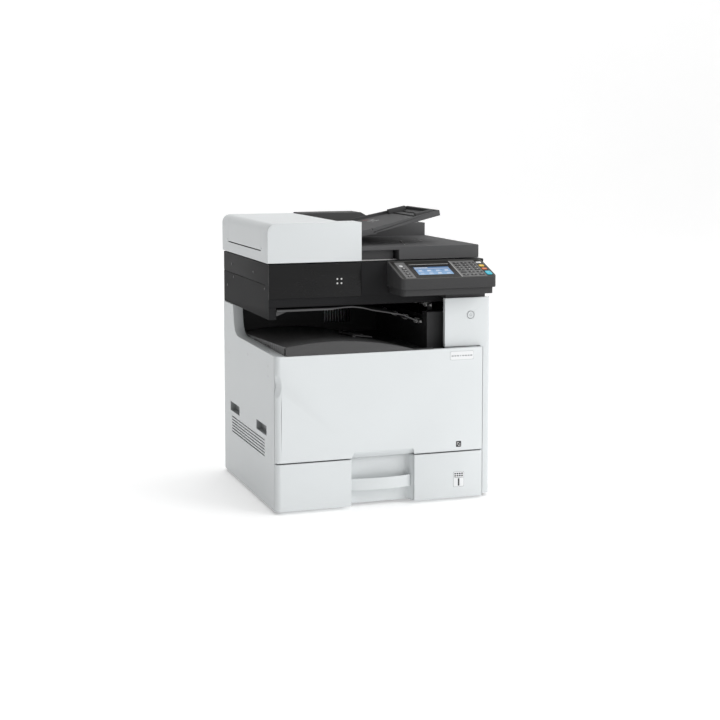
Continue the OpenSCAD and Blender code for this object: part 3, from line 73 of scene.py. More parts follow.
MM = 0.001
AX_X = np.array([1.0, 0.0, 0.0])
AX_Y = np.array([0.0, 1.0, 0.0])
AX_Z = np.array([0.0, 0.0, 1.0])
AX_LEFT = np.array([-1.0, 0.0, 0.0])
AX_FRONT = np.array([0.0, -1.0, 0.0])

# The sloping face of the operation panel: its angle, its lower left corner and its axes.
TILT = math.radians(18.5)
PANEL_FRONT_Z = 0.587
PANEL_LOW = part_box("operation_panel")[0]
PANEL_ORIGIN = np.array([PANEL_LOW[0], PANEL_LOW[1], PANEL_FRONT_Z])
PANEL_U = AX_X
PANEL_V = np.array([0.0, math.cos(TILT), math.sin(TILT)])
PANEL_N = np.array([0.0, -math.sin(TILT), math.cos(TILT)])
PANEL_AXES = (PANEL_U, PANEL_V, PANEL_N)


# ---------------------------------------------------------------- settings

class CopierSettings(bpy.types.PropertyGroup):
    casing: bpy.props.FloatVectorProperty(
        name="Casing", description="Colour of the white covers", size=3, subtype="COLOR",
        min=0, max=1, default=(0.690, 0.718, 0.727))
    charcoal: bpy.props.FloatVectorProperty(
        name="Charcoal", description="Colour of the dark covers", size=3, subtype="COLOR",
        min=0, max=1, default=(0.050, 0.050, 0.051))
    deep: bpy.props.FloatVectorProperty(
        name="Inner charcoal", description="Colour of the output trays and walls", size=3, subtype="COLOR",
        min=0, max=1, default=(0.022, 0.022, 0.023))
    edge: bpy.props.FloatProperty(
        name="Edge rounding", description="Radius of the moulded edges", default=0.0016, unit="LENGTH", min=0)
    grain: bpy.props.FloatProperty(
        name="Grain depth", description="Depth of the moulded grain", default=0.00004, unit="LENGTH", min=0)


class StudioSettings(bpy.types.PropertyGroup):
    floor: bpy.props.FloatVectorProperty(
        name="Floor", description="Colour of the floor", size=3, subtype="COLOR", min=0, max=1,
        default=(0.93, 0.93, 0.93))
    reach: bpy.props.FloatProperty(
        name="Floor size", description="Half the side of the floor", default=9.0, unit="LENGTH", min=1)


# ---------------------------------------------------------------- shader maths

class Val:
    """A number socket: an expression on values adds its Math nodes."""

    def __init__(self, shader, socket):
        self.shader = shader
        self.socket = socket

    def _op(self, operation, a, b):
        return self.shader.math(operation, a, b)

    def __add__(self, other):
        return self._op("ADD", self, other)

    def __radd__(self, other):
        return self._op("ADD", other, self)

    def __sub__(self, other):
        return self._op("SUBTRACT", self, other)

    def __rsub__(self, other):
        return self._op("SUBTRACT", other, self)

    def __mul__(self, other):
        return self._op("MULTIPLY", self, other)

    def __rmul__(self, other):
        return self._op("MULTIPLY", other, self)

    def __truediv__(self, other):
        return self._op("DIVIDE", self, other)

    def __gt__(self, other):
        return self._op("GREATER_THAN", self, other)

    def __lt__(self, other):
        return self._op("LESS_THAN", self, other)


class Shader:
    """One material and the few kinds of node that the finishes use."""

    def __init__(self, name):
        self.mat = bpy.data.materials.new(name)
        self.mat.use_nodes = True
        self.nodes = self.mat.node_tree.nodes
        self.links = self.mat.node_tree.links
        self.bsdf = self.nodes["Principled BSDF"]

    def node(self, kind, settings=None, **inputs):
        """Adds a node: settings first, then the values or links of its sockets (by name or _index)."""
        n = self.nodes.new(kind)
        for key, value in (settings or {}).items():
            if key == "stops":
                ramp = n.color_ramp
                while len(ramp.elements) < len(value):
                    ramp.elements.new(0.5)
                for element, (place, colour) in zip(ramp.elements, value):
                    element.position = place
                    element.color = tuple(colour) + (1.0,)
            else:
                setattr(n, key, value)
        for key, value in inputs.items():
            socket = n.inputs[int(key[1:])] if key[0] == "_" else n.inputs[key.replace("_", " ")]
            self.feed(socket, value)
        return n

    def feed(self, socket, value):
        if isinstance(value, Val):
            self.links.new(value.socket, socket)
        elif isinstance(value, bpy.types.NodeSocket):
            self.links.new(value, socket)
        elif socket.type == "RGBA" and len(value) == 3:
            socket.default_value = tuple(value) + (1.0,)
        else:
            socket.default_value = value

    def math(self, operation, a, b=0.0):
        n = self.node("ShaderNodeMath", {"operation": operation}, _0=a, _1=b)
        return Val(self, n.outputs[0])

    def mix(self, factor, a, b):
        """A colour between a and b."""
        n = self.node("ShaderNodeMix", {"data_type": "RGBA"}, _0=factor, _6=a, _7=b)
        return n.outputs[2]

    def coords(self):
        """Place on the object in metres, as three values."""
        n = self.node("ShaderNodeTexCoord")
        split = self.node("ShaderNodeSeparateXYZ", _0=n.outputs["Object"])
        return n.outputs["Object"], [Val(self, split.outputs[i]) for i in range(3)]

    def noise(self, place, scale, detail=3.0, rough=0.55):
        n = self.node("ShaderNodeTexNoise", Vector=place, Scale=scale, Detail=detail, Roughness=rough)
        return Val(self, n.outputs["Fac"])

    def stretched(self, place, scale):
        return self.node("ShaderNodeMapping", _0=place, _3=scale).outputs[0]

    def inside(self, value, low, high):
        """1 where low < value < high."""
        return (value > low) * (value < high)

    def box(self, x, y, x0, x1, y0, y1):
        return self.inside(x, x0, x1) * self.inside(y, y0, y1)

    def surface(self, colour=None, rough=None, height=None, depth=0.0001, strength=1.0, edge=0.0, **fixed):
        """Links the varying sockets and sets the fixed ones on the principled shader."""
        if colour is not None:
            self.feed(self.bsdf.inputs["Base Color"], colour)
        if rough is not None:
            self.feed(self.bsdf.inputs["Roughness"], rough)
        normal = None
        if edge > 0:
            normal = self.node("ShaderNodeBevel", {"samples": 4}, Radius=edge).outputs[0]
        if height is not None:
            bump = self.node("ShaderNodeBump", Strength=strength, Distance=depth, Height=height)
            if normal is not None:
                self.feed(bump.inputs["Normal"], normal)
            normal = bump.outputs[0]
        if normal is not None:
            self.feed(self.bsdf.inputs["Normal"], normal)
        for key, value in fixed.items():
            self.feed(self.bsdf.inputs[key.replace("_", " ")], value)
        return self.mat


LOW_STREAK_GREY = (0.55, 0.54, 0.52)
PAINTED_SHADE_WELLS = (-0.150, 0.270, 0.090, 0.262)  # Y and Z limits of the vents and hand holds in the left cover, metres


def shade(colour, k):
    """The colour k times as bright, kept below 1."""
    return tuple(min(1.0, c * k) for c in colour)


def moulded(name, colour, rough=0.45, grain=0.00004, edge=0.0016, scale=1500.0, **fixed):
    """Moulded plastic: a fine spark-eroded grain, faint flow shading and slightly uneven gloss."""
    s = Shader(name)
    place, _ = s.coords()
    broad = s.noise(place, 5.0, 2.0)
    fine = s.noise(place, scale, 4.0, 0.6)
    tone = s.mix(broad, shade(colour, 0.975), shade(colour, 1.02))
    tone = s.mix(fine * 0.25, tone, shade(colour, 0.90))
    return s.surface(tone, rough + (fine - 0.5) * 0.12 + (broad - 0.5) * 0.05, fine, grain, 0.6, edge, **fixed)


def casing(name, colour, edge, grain, low_tone=0.975, high_tone=1.015, rough=0.40, scuffed=0.10, skin=None):
    """White casing plastic, faintly greyer in streaks towards the bottom, with a satin bloom. Where skin is given,
    what lies deeper than that X is darker between the heights of the vents and the hand holds: painted shade inside
    the vents and hand holds."""
    s = Shader(name)
    place, (x, y, z) = s.coords()
    broad = s.noise(place, 4.0, 3.0)
    fine = s.noise(place, 1800.0, 3.0, 0.6)
    scuff = s.noise(s.stretched(place, (9.0, 9.0, 60.0)), 3.0, 5.0, 0.7)
    # Greyer in streaks towards the bottom, fading out above 11 cm.
    low = s.math("MAXIMUM", 1.0 - z * 9.0, 0.0)
    tone = s.mix(broad, shade(colour, low_tone), shade(colour, high_tone))
    tone = s.mix(low * 0.10 * scuff, tone, LOW_STREAK_GREY)
    if skin is not None:
        # Painted shade: inside the vents and hand holds, deeper than the skin, the colour falls to 0.45.
        tone = s.mix((x > skin) * s.box(y, z, *PAINTED_SHADE_WELLS), tone, shade(colour, 0.45))
    gloss = rough + (fine - 0.5) * 0.10
    if scuffed:
        gloss = gloss + (scuff - 0.5) * scuffed
    return s.surface(tone, gloss, fine, grain, 0.5, edge, Coat_Weight=0.06, Coat_Roughness=0.25)


def ribbed(name, colour, pitch, axis, edge):
    """Charcoal plastic with fine ribs: the height is a sine of the place across the ribs, and the colour follows the
    same sine, lighter on the crests and darker in the troughs, as painted highlight and shade.
    """
    s = Shader(name)
    place, xyz = s.coords()
    wave = s.math("SINE", xyz[axis] * (2 * math.pi / pitch))
    fine = s.noise(place, 1500.0, 3.0)
    height = s.math("MAXIMUM", wave, -0.2) * 0.8 + fine * 0.2
    # Painted highlight and shade: the rib crests lighter, the troughs darker.
    tone = s.mix(s.math("MAXIMUM", wave, 0.0), shade(colour, 0.75), shade(colour, 1.3))
    return s.surface(tone, 0.46 + (fine - 0.5) * 0.1, height, 0.0008, 0.9, edge)


def steel(name, colour, axis):
    """Zinc-plated sheet with rolling lines along one axis."""
    s = Shader(name)
    place, _ = s.coords()
    scale = [400.0, 400.0, 400.0]
    scale[axis] = 8.0
    lines = s.noise(s.stretched(place, tuple(scale)), 1.0, 4.0)
    spangle = s.node("ShaderNodeTexVoronoi", Vector=place, Scale=90.0).outputs["Color"]
    tone = s.mix(lines, shade(colour, 0.85), shade(colour, 1.1))
    tone = s.mix(0.05, tone, spangle)
    return s.surface(tone, 0.30 + lines * 0.18, lines, 0.00003, 0.4, 0.0006, Metallic=1.0)


def rubbery(name, colour, rough=0.75):
    """Rubber with a fine ground surface and a dusty bloom."""
    s = Shader(name)
    place, _ = s.coords()
    fine = s.noise(place, 900.0, 5.0, 0.7)
    bloom = s.noise(place, 25.0, 3.0)
    tone = s.mix(bloom * 0.35, colour, shade(colour, 2.2))
    return s.surface(tone, rough + (fine - 0.5) * 0.2, fine, 0.0002, 0.7, 0.001)


def glass(name):
    """Float glass with a faint green body and light dust."""
    s = Shader(name)
    place, _ = s.coords()
    dust = s.noise(place, 220.0, 4.0)
    return s.surface((0.82, 0.92, 0.90), 0.03 + dust * 0.05, Transmission_Weight=0.85, IOR=1.5,
                     Specular_IOR_Level=0.5)


def gloss_black(name):
    """Piano-black moulding: dark body, clear coat and a faint orange-peel surface."""
    s = Shader(name)
    place, _ = s.coords()
    peel = s.noise(place, 120.0, 2.0)
    smear = s.noise(s.stretched(place, (3.0, 3.0, 14.0)), 2.0, 4.0)
    tone = s.mix(smear, (0.004, 0.004, 0.0042), (0.008, 0.008, 0.0085))
    return s.surface(tone, 0.13 + smear * 0.10, peel, 0.00002, 0.3, Specular_IOR_Level=0.22)


def panel_axes(s):
    """Place on the sloping panel: u along X, v up the slope and w off the face, in millimetres."""
    _, (x, y, z) = s.coords()
    ox, oy, oz = (float(v) for v in PANEL_ORIGIN)
    u = (x - ox) * 1000.0
    v = ((y - oy) * math.cos(TILT) + (z - oz) * math.sin(TILT)) * 1000.0
    w = ((z - oz) * math.cos(TILT) - (y - oy) * math.sin(TILT)) * 1000.0
    return u, v, w


def panel_finish(name, body):
    """The panel housing: charcoal sides, and a dark printed face with grey key fields, a bezel and a painted
    highlight line along the bezel's top edge.
    """
    s = Shader(name)
    place, _ = s.coords()
    u, v, w = panel_axes(s)
    fine = s.noise(place, 1500.0, 3.0)
    face = w > -0.4
    plate = s.box(u, v, 5.0, 255.0, 4.0, 112.0) * face
    line = (s.box(u, v, 4.0, 256.0, 3.0, 113.0) * face) * (1.0 - plate)
    left = s.box(u, v, 15.0, 42.0, 6.0, 106.0) * face
    pad = s.box(u, v, 168.0, 236.0, 6.0, 106.0) * face
    seam = s.inside(u, 165.6, 168.0) * s.inside(v, 6.0, 106.0) * face
    bezel = s.box(u, v, 48.0, 160.0, 18.0, 88.0) * face
    # Painted highlight: a pale line along the top edge of the bezel.
    painted_glint = s.box(u, v, 50.0, 158.0, 88.0, 90.5) * face
    tone = s.mix(fine * 0.3, body, shade(body, 0.8))
    tone = s.mix(plate, tone, (0.016, 0.0155, 0.014))
    tone = s.mix(line, tone, (0.17, 0.17, 0.16))
    tone = s.mix(s.math("MAXIMUM", left, pad), tone, (0.16, 0.16, 0.16))
    tone = s.mix(s.math("MAXIMUM", seam, painted_glint), tone, (0.42, 0.42, 0.41))
    tone = s.mix(bezel, tone, (0.006, 0.006, 0.007))
    rough = 0.52 - plate * 0.16 - bezel * 0.12 + (fine - 0.5) * 0.08
    return s.surface(tone, rough, fine, 0.00003, 0.4, 0.0010, IOR=1.25)


def display_finish(name):
    """A lit menu: a header bar and two rows of plain tiles, each tile a box of the repeating place."""
    s = Shader(name)
    u, v, w = panel_axes(s)
    a = (u - 56.3) / 95.4
    b = (v - 25.3) / 47.4
    col = s.math("FRACT", a * 4.0)
    row = s.math("FRACT", b * 2.9)
    tile = s.box(col, row, 0.08, 0.92, 0.12, 0.86) * s.inside(b, 0.05, 0.72)
    icon = s.box(col, row, 0.30, 0.70, 0.42, 0.76) * s.inside(b, 0.05, 0.72)
    caption = s.box(col, row, 0.20, 0.80, 0.20, 0.30) * s.inside(b, 0.05, 0.72)
    header = b > 0.86
    strip = s.inside(b, 0.74, 0.84)
    pick = s.math("FRACT", s.math("FLOOR", a * 4.0) * 0.37 + s.math("FLOOR", b * 2.9) * 0.61)
    tone = s.mix(b, (0.30, 0.55, 0.86), (0.05, 0.16, 0.42))
    tone = s.mix(tile * 0.65, tone, (0.22, 0.45, 0.80))
    tone = s.mix(icon * (0.35 + pick * 0.6), tone, (0.92, 0.96, 1.0))
    tone = s.mix(caption * 0.8, tone, (0.80, 0.90, 1.0))
    tone = s.mix(strip * 0.6, tone, (0.65, 0.78, 0.92))
    tone = s.mix(header, tone, (0.10, 0.24, 0.50))
    tone = s.mix(s.box(a, b, 0.02, 0.40, 0.89, 0.96), tone, (0.85, 0.92, 1.0))
    s.feed(s.bsdf.inputs["Emission Color"], tone)
    return s.surface(s.mix(0.5, tone, (0.01, 0.02, 0.04)), 0.2, Emission_Strength=0.26)


def board_finish(name):
    """Solder mask with fine copper tracks running across it."""
    s = Shader(name)
    place, (x, _, z) = s.coords()
    tracks = s.math("SINE", (x + s.noise(place, 30.0) * 0.01) * 2600.0) > 0.55
    tone = s.mix(tracks * 0.5, (0.010, 0.085, 0.035), (0.05, 0.22, 0.09))
    return s.surface(tone, 0.35 - tracks * 0.1, tracks, 0.00005, 0.5)


# ---------------------------------------------------------------- meshes

def grid_mesh(name, points, closed_u=False):
    """A grid of points (rows, columns, 3) as a quad mesh."""
    rows, cols = points.shape[:2]
    index = np.arange(rows * cols).reshape(rows, cols)
    if closed_u:
        index = np.concatenate([index, index[:, :1]], axis=1)
    quads = np.stack([index[:-1, :-1], index[:-1, 1:], index[1:, 1:], index[1:, :-1]], axis=-1).reshape(-1, 4)
    mesh = bpy.data.meshes.new(name)
    mesh.from_pydata(points.reshape(-1, 3).tolist(), [], quads.tolist())
    mesh.update()
    return mesh


def add_object(name, mesh, body, material):
    """Shows a mesh as a piece that rides on a body and takes its finish from a slot."""
    piece = bpy.data.objects.new(name, mesh)
    bpy.context.scene.collection.objects.link(piece)
    mesh.materials.append(material)
    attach(piece, body)
    return piece


def outward(mesh):
    """Closes the seams and turns every face outwards."""
    b = bmesh.new()
    b.from_mesh(mesh)
    bmesh.ops.remove_doubles(b, verts=b.verts, dist=1e-7)
    bmesh.ops.recalc_face_normals(b, faces=b.faces)
    b.to_mesh(mesh)
    b.free()


def pillow(name, origin, u, v, n, width, height, thick, corner, rows=12, cols=48):
    """A closed pad with rounded corners: rings of a superellipse of order corner that shrink and rise as a
    quarter circle towards the top, carried by the axes u, v and n from the pad's centre."""
    t = np.linspace(0, 2 * np.pi, cols, endpoint=False)
    k = 2.0 / corner
    ring = np.stack([np.sign(np.cos(t)) * np.abs(np.cos(t)) ** k, np.sign(np.sin(t)) * np.abs(np.sin(t)) ** k], -1)
    a = np.linspace(0, np.pi / 2, rows)
    edge = min(thick, 0.35 * min(width, height))
    inset = edge * (1 - np.cos(a))
    rise = thick * np.sin(a)
    inset = np.concatenate([[0.0], inset, [min(width, height) * 0.25, min(width, height) * 0.499]])
    rise = np.concatenate([[-thick * 0.2], rise, [thick, thick]])
    half = np.stack([np.maximum(width / 2 - inset, 1e-6), np.maximum(height / 2 - inset, 1e-6)], -1)
    place = ring[None] * half[:, None]
    points = (np.asarray(origin) + place[..., :1] * np.asarray(u) + place[..., 1:] * np.asarray(v)
              + rise[:, None, None] * np.asarray(n))
    mesh = grid_mesh(name, points, True)
    b = bmesh.new()
    b.from_mesh(mesh)
    b.verts.ensure_lookup_table()
    b.faces.new([b.verts[i] for i in range(cols)][::-1])
    b.faces.new([b.verts[len(b.verts) - cols + i] for i in range(cols)])
    b.to_mesh(mesh)
    b.free()
    outward(mesh)
    smooth(mesh)
    return mesh


def smooth(mesh):
    """Shades every face smooth."""
    mesh.polygons.foreach_set("use_smooth", np.ones(len(mesh.polygons), dtype=bool))


def join(name, meshes):
    """One mesh from several, keeping their points and faces."""
    b = bmesh.new()
    for m in meshes:
        b.from_mesh(m)
    mesh = bpy.data.meshes.new(name)
    b.to_mesh(mesh)
    b.free()
    return mesh


def baked(temp):
    """The mesh that an object comes to with its modifiers or its text; the object itself is removed."""
    mesh = bpy.data.meshes.new_from_object(temp.evaluated_get(bpy.context.evaluated_depsgraph_get()))
    bpy.data.objects.remove(temp)
    return mesh


def digits(name, text, origin, u, v, n, size, depth=0.00008, weight=0.0):
    """Generic figures as thin raised print, centred on origin in the plane of u and v."""
    curve = bpy.data.curves.new(name, "FONT")
    curve.body = text
    curve.size = size
    curve.align_x = "CENTER"
    curve.align_y = "CENTER"
    curve.extrude = depth
    curve.offset = weight
    curve.resolution_u = 2
    temp = bpy.data.objects.new(name, curve)
    bpy.context.scene.collection.objects.link(temp)
    bpy.context.view_layer.update()
    mesh = baked(temp)
    count = len(mesh.vertices)
    flat = np.empty(count * 3)
    mesh.vertices.foreach_get("co", flat)
    p = flat.reshape(-1, 3)
    q = np.asarray(origin) + p[:, :1] * np.asarray(u) + p[:, 1:2] * np.asarray(v) + p[:, 2:] * np.asarray(n)
    mesh.vertices.foreach_set("co", q.ravel())
    mesh.update()
    return mesh


def ring_mesh(name, origin, u, v, n, outer, inner, thick, start=0.0, end=360.0, cols=48):
    """A flat ring or arc: the profile is a small rectangle carried round the angle."""
    t = np.radians(np.linspace(start, end, cols))
    prof = np.array([[inner, 0], [inner, thick], [outer, thick], [outer, 0]])
    d = np.stack([np.cos(t), np.sin(t)], -1)
    spokes = d[:, None, :1] * np.asarray(u) + d[:, None, 1:] * np.asarray(v)
    points = np.asarray(origin) + prof[None, :, :1] * spokes + prof[None, :, 1:] * np.asarray(n)
    mesh = grid_mesh(name, points, True)
    outward(mesh)
    return mesh


# ---------------------------------------------------------------- carried-over nodes

SLOT_OF = {row["node"]: row["material_slot"] for row in frame["record"]["subparts"]}
BODY_OF = {name: node["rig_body"] for name, node in frame["nodes"].items()}
PANEL_KEYS = ("home_key", "function_keys", "number_keys", "energy_key", "reset_key", "stop_key", "start_key")
WHITE_COVERS = ("left_cover", "rear_cover", "right_cover", "right_column", "power_button", "front_cover",
                "right_door", "cassette_front", "adf_cover", "adf_top_cover")
DARK_COVERS = ("adf_base", "document_tray", "doc_guide_front", "doc_guide_rear", "scanner_top", "scanner_tub",
               "exit_housing", "output_tray", "job_tray", "paper_stopper", "mp_tray", "operation_panel",
               "scanner_front")
# Width of the edge rounding in metres, where it isn't the usual one of the white or the dark covers. The left cover
# and the paper stopper keep their CAD edges.
WHITE_WIDTH = 0.0011
DARK_WIDTH = 0.0008
SOFT_WIDTH = {"left_cover": 0.0, "paper_stopper": 0.0, "mp_tray": 0.0004, "operation_panel": 0.0004,
              "power_button": 0.0004, "adf_cover": 0.0005, "doc_guide_front": 0.0006, "doc_guide_rear": 0.0006,
              "scanner_front": 0.0007, "adf_top_cover": 0.0009}
MERGE_DISTANCE = 2e-6
BEVEL_ANGLE = math.radians(32)
CRISP_ANGLE = math.radians(20)


def soften(node, material, width):
    """A copy of a node with its points merged and a two-step rounding on its sharp edges; corners over 20 degrees
    stay crisp in the shading, so flat faces stay flat and curved ones smooth."""
    mesh = frame["nodes"][node].data.copy()
    b = bmesh.new()
    b.from_mesh(mesh)
    bmesh.ops.remove_doubles(b, verts=b.verts, dist=MERGE_DISTANCE)
    b.to_mesh(mesh)
    b.free()
    if "custom_normal" in mesh.attributes:
        mesh.attributes.remove(mesh.attributes["custom_normal"])
    mesh.materials.clear()
    if width > 0:
        temp = bpy.data.objects.new(node + "_edges", mesh)
        bpy.context.scene.collection.objects.link(temp)
        bevel = temp.modifiers.new("edges", "BEVEL")
        bevel.width = width
        bevel.segments = 2
        bevel.limit_method = "ANGLE"
        bevel.angle_limit = BEVEL_ANGLE
        bevel.use_clamp_overlap = False
        mesh = baked(temp)
    mesh.name = node + "_soft"
    smooth(mesh)
    mesh.set_sharp_from_angle(angle=CRISP_ANGLE)
    piece = add_object(node + "_soft", mesh, BODY_OF[node], material)
    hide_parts(node)


def dress(node, material):
    """Gives a node that is shown as it is its finish."""
    mesh = frame["nodes"][node].data
    mesh.materials.clear()
    mesh.materials.append(material)


class COPIER_OT_covers(bpy.types.Operator):
    """White outer covers: rounded edges and a fine satin grain"""
    bl_idname = "copier.covers"
    bl_label = "White covers"

    def execute(self, context):
        cfg = context.scene.copier
        white = casing("casing_white", cfg.casing, cfg.edge, cfg.grain)
        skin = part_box("left_cover")[0][0] + 0.0012
        # The left cover takes a darker copy of the casing: painted shade on the side turned from the lamps, and
        # painted shade inside its vents and hand holds.
        side = casing("casing_side_painted_shade", cfg.casing, cfg.edge, cfg.grain, 0.90, 0.935, 0.42, 0.0, skin)
        # The feeder's covers take a darker copy of the casing: painted shade.
        feeder = casing("casing_feeder_painted_shade", shade(cfg.casing, 0.93), cfg.edge, cfg.grain)
        finish = {"left_cover": side, "adf_cover": feeder, "adf_top_cover": feeder}
        for node in WHITE_COVERS:
            soften(node, finish.get(node, white), SOFT_WIDTH.get(node, WHITE_WIDTH))
        return {"FINISHED"}


class COPIER_OT_dark_covers(bpy.types.Operator):
    """Charcoal scanner, feeder, trays and panel housing"""
    bl_idname = "copier.dark_covers"
    bl_label = "Charcoal covers"

    def execute(self, context):
        cfg = context.scene.copier
        plain = moulded("charcoal_cover", shade(cfg.charcoal, 2.0), 0.6, cfg.grain, cfg.edge * 0.6, IOR=1.12)
        dark = moulded("scanner_charcoal", shade(cfg.deep, 0.95), 0.50, cfg.grain, cfg.edge * 0.6, IOR=1.10)
        # The exit housing's inner charcoal is 1.5 times as bright: painted fill light in the cavity.
        deep = moulded("charcoal_inner_painted_fill_light", shade(cfg.deep, 1.5), 0.50, cfg.grain, 0.0, IOR=1.3)
        finish = {
            "scanner_top": dark,
            "scanner_tub": dark,
            "operation_panel": panel_finish("panel_face", cfg.charcoal),
            "scanner_front": gloss_black("gloss_panel"),
            # The output tray's charcoal is 1.3 times as bright: painted fill light on its deck.
            "output_tray": ribbed("tray_ribs_painted_light", shade(cfg.charcoal, 1.3), 0.018, 1, cfg.edge),
            "exit_housing": deep,
            # The job tray's charcoal is 1.3 times as bright: painted highlight, besides its satin gloss.
            "job_tray": moulded("job_tray_satin_painted_highlight", shade(cfg.charcoal, 1.3), 0.34, cfg.grain, cfg.edge * 0.6),
        }
        for node in DARK_COVERS:
            soften(node, finish.get(node, plain), SOFT_WIDTH.get(node, DARK_WIDTH))
        return {"FINISHED"}


class COPIER_OT_works(bpy.types.Operator):
    """Frame, drawer, engine, scanner and feeder works, each with the finish of its own stuff"""
    bl_idname = "copier.works"
    bl_label = "Inner works"

    def execute(self, context):
        cfg = context.scene.copier
        by_slot = {
            "casing_white": moulded("inner_white", cfg.casing, 0.45, edge=0.0),
            "charcoal": moulded("inner_charcoal", cfg.charcoal, 0.5, edge=0.0),
            "charcoal_light": moulded("inner_charcoal_light", (0.07, 0.07, 0.073), 0.5, edge=0.0),
            "gloss_black": gloss_black("inner_gloss"),
            "zinc_steel": steel("zinc_sheet", (0.60, 0.61, 0.62), 0),
            "rubber_black": rubbery("foot_rubber", (0.018, 0.018, 0.018)),
            "grey_plastic": moulded("grey_moulding", (0.26, 0.27, 0.28), 0.5, edge=0.0),
            "roller_grey": rubbery("roller_rubber", (0.50, 0.50, 0.49), 0.6),
            "clear_glass": glass("platen_sheet"),
            "display": display_finish("menu_screen"),
            "key_white": moulded("light_lever", (0.66, 0.67, 0.66), 0.45, edge=0.0),
            "pad_white": moulded("pad_film", (0.80, 0.80, 0.79), 0.35, 0.00006, 0.0, 400.0),
            "board_green": board_finish("solder_mask"),
            "belt_black": gloss_black("belt_film"),
            "toner_black": moulded("toner_case", (0.02, 0.02, 0.022), 0.42, edge=0.0),
            "fuser_sleeve": rubbery("fuser_film", (0.16, 0.06, 0.03), 0.35),
            "silicone_red": rubbery("silicone", (0.22, 0.04, 0.025), 0.45),
        }
        for node in frame["nodes"]:
            if node not in WHITE_COVERS + DARK_COVERS + PANEL_KEYS:
                dress(node, by_slot[SLOT_OF[node]])
        return {"FINISHED"}


def panel_point(u, v, w=0.0):
    """A place on the panel: u along X, v up the slope and w off its face, given in millimetres."""
    return PANEL_ORIGIN + (u * PANEL_U + v * PANEL_V + w * PANEL_N) * MM


# Keys of the panel, in millimetres along u and v: their columns and rows, and width and height of a cap. A cap's
# shoulder starts at KEY_SHOULDER off the face and its crown is at KEY_UP; its skirt runs from KEY_LOW to KEY_HIGH.
PAD_COLUMNS = (181, 203, 225)
PAD_ROWS = (91, 77, 63, 49, 34, 17)
PAD_KEY = (15, 8)
FUNCTION_COLUMN = 28.5
FUNCTION_ROWS = (17.5, 34, 49, 63.5)
FUNCTION_KEY = (12, 8)
HOME_KEY = (26.5, 84.5)
HOME_WIDTH = 11.8
HOME_LOW = -2.4
KEY_SHOULDER = 0.2
KEY_UP = 1.0
KEY_LOW = -3.0
KEY_HIGH = 0.25
PRINT = 0.0001  # height of printed signs in metres


def keycap(name, u, v, width, height, up):
    """The top of a key from its shoulder to its crown: a pillow with corners of order 5."""
    return pillow(name, panel_point(u, v, KEY_SHOULDER), *PANEL_AXES, width * MM, height * MM,
                  (up - KEY_SHOULDER) * MM, 5.0, 7, 24)


def key_skirt(name, u, v, width, height):
    """The straight part of a key below its shoulder: a pillow with nearly square corners, of order 9."""
    return pillow(name, panel_point(u, v, KEY_LOW), *PANEL_AXES, width * MM, height * MM,
                  (KEY_HIGH - KEY_LOW) * MM, 9.0, 3, 24)


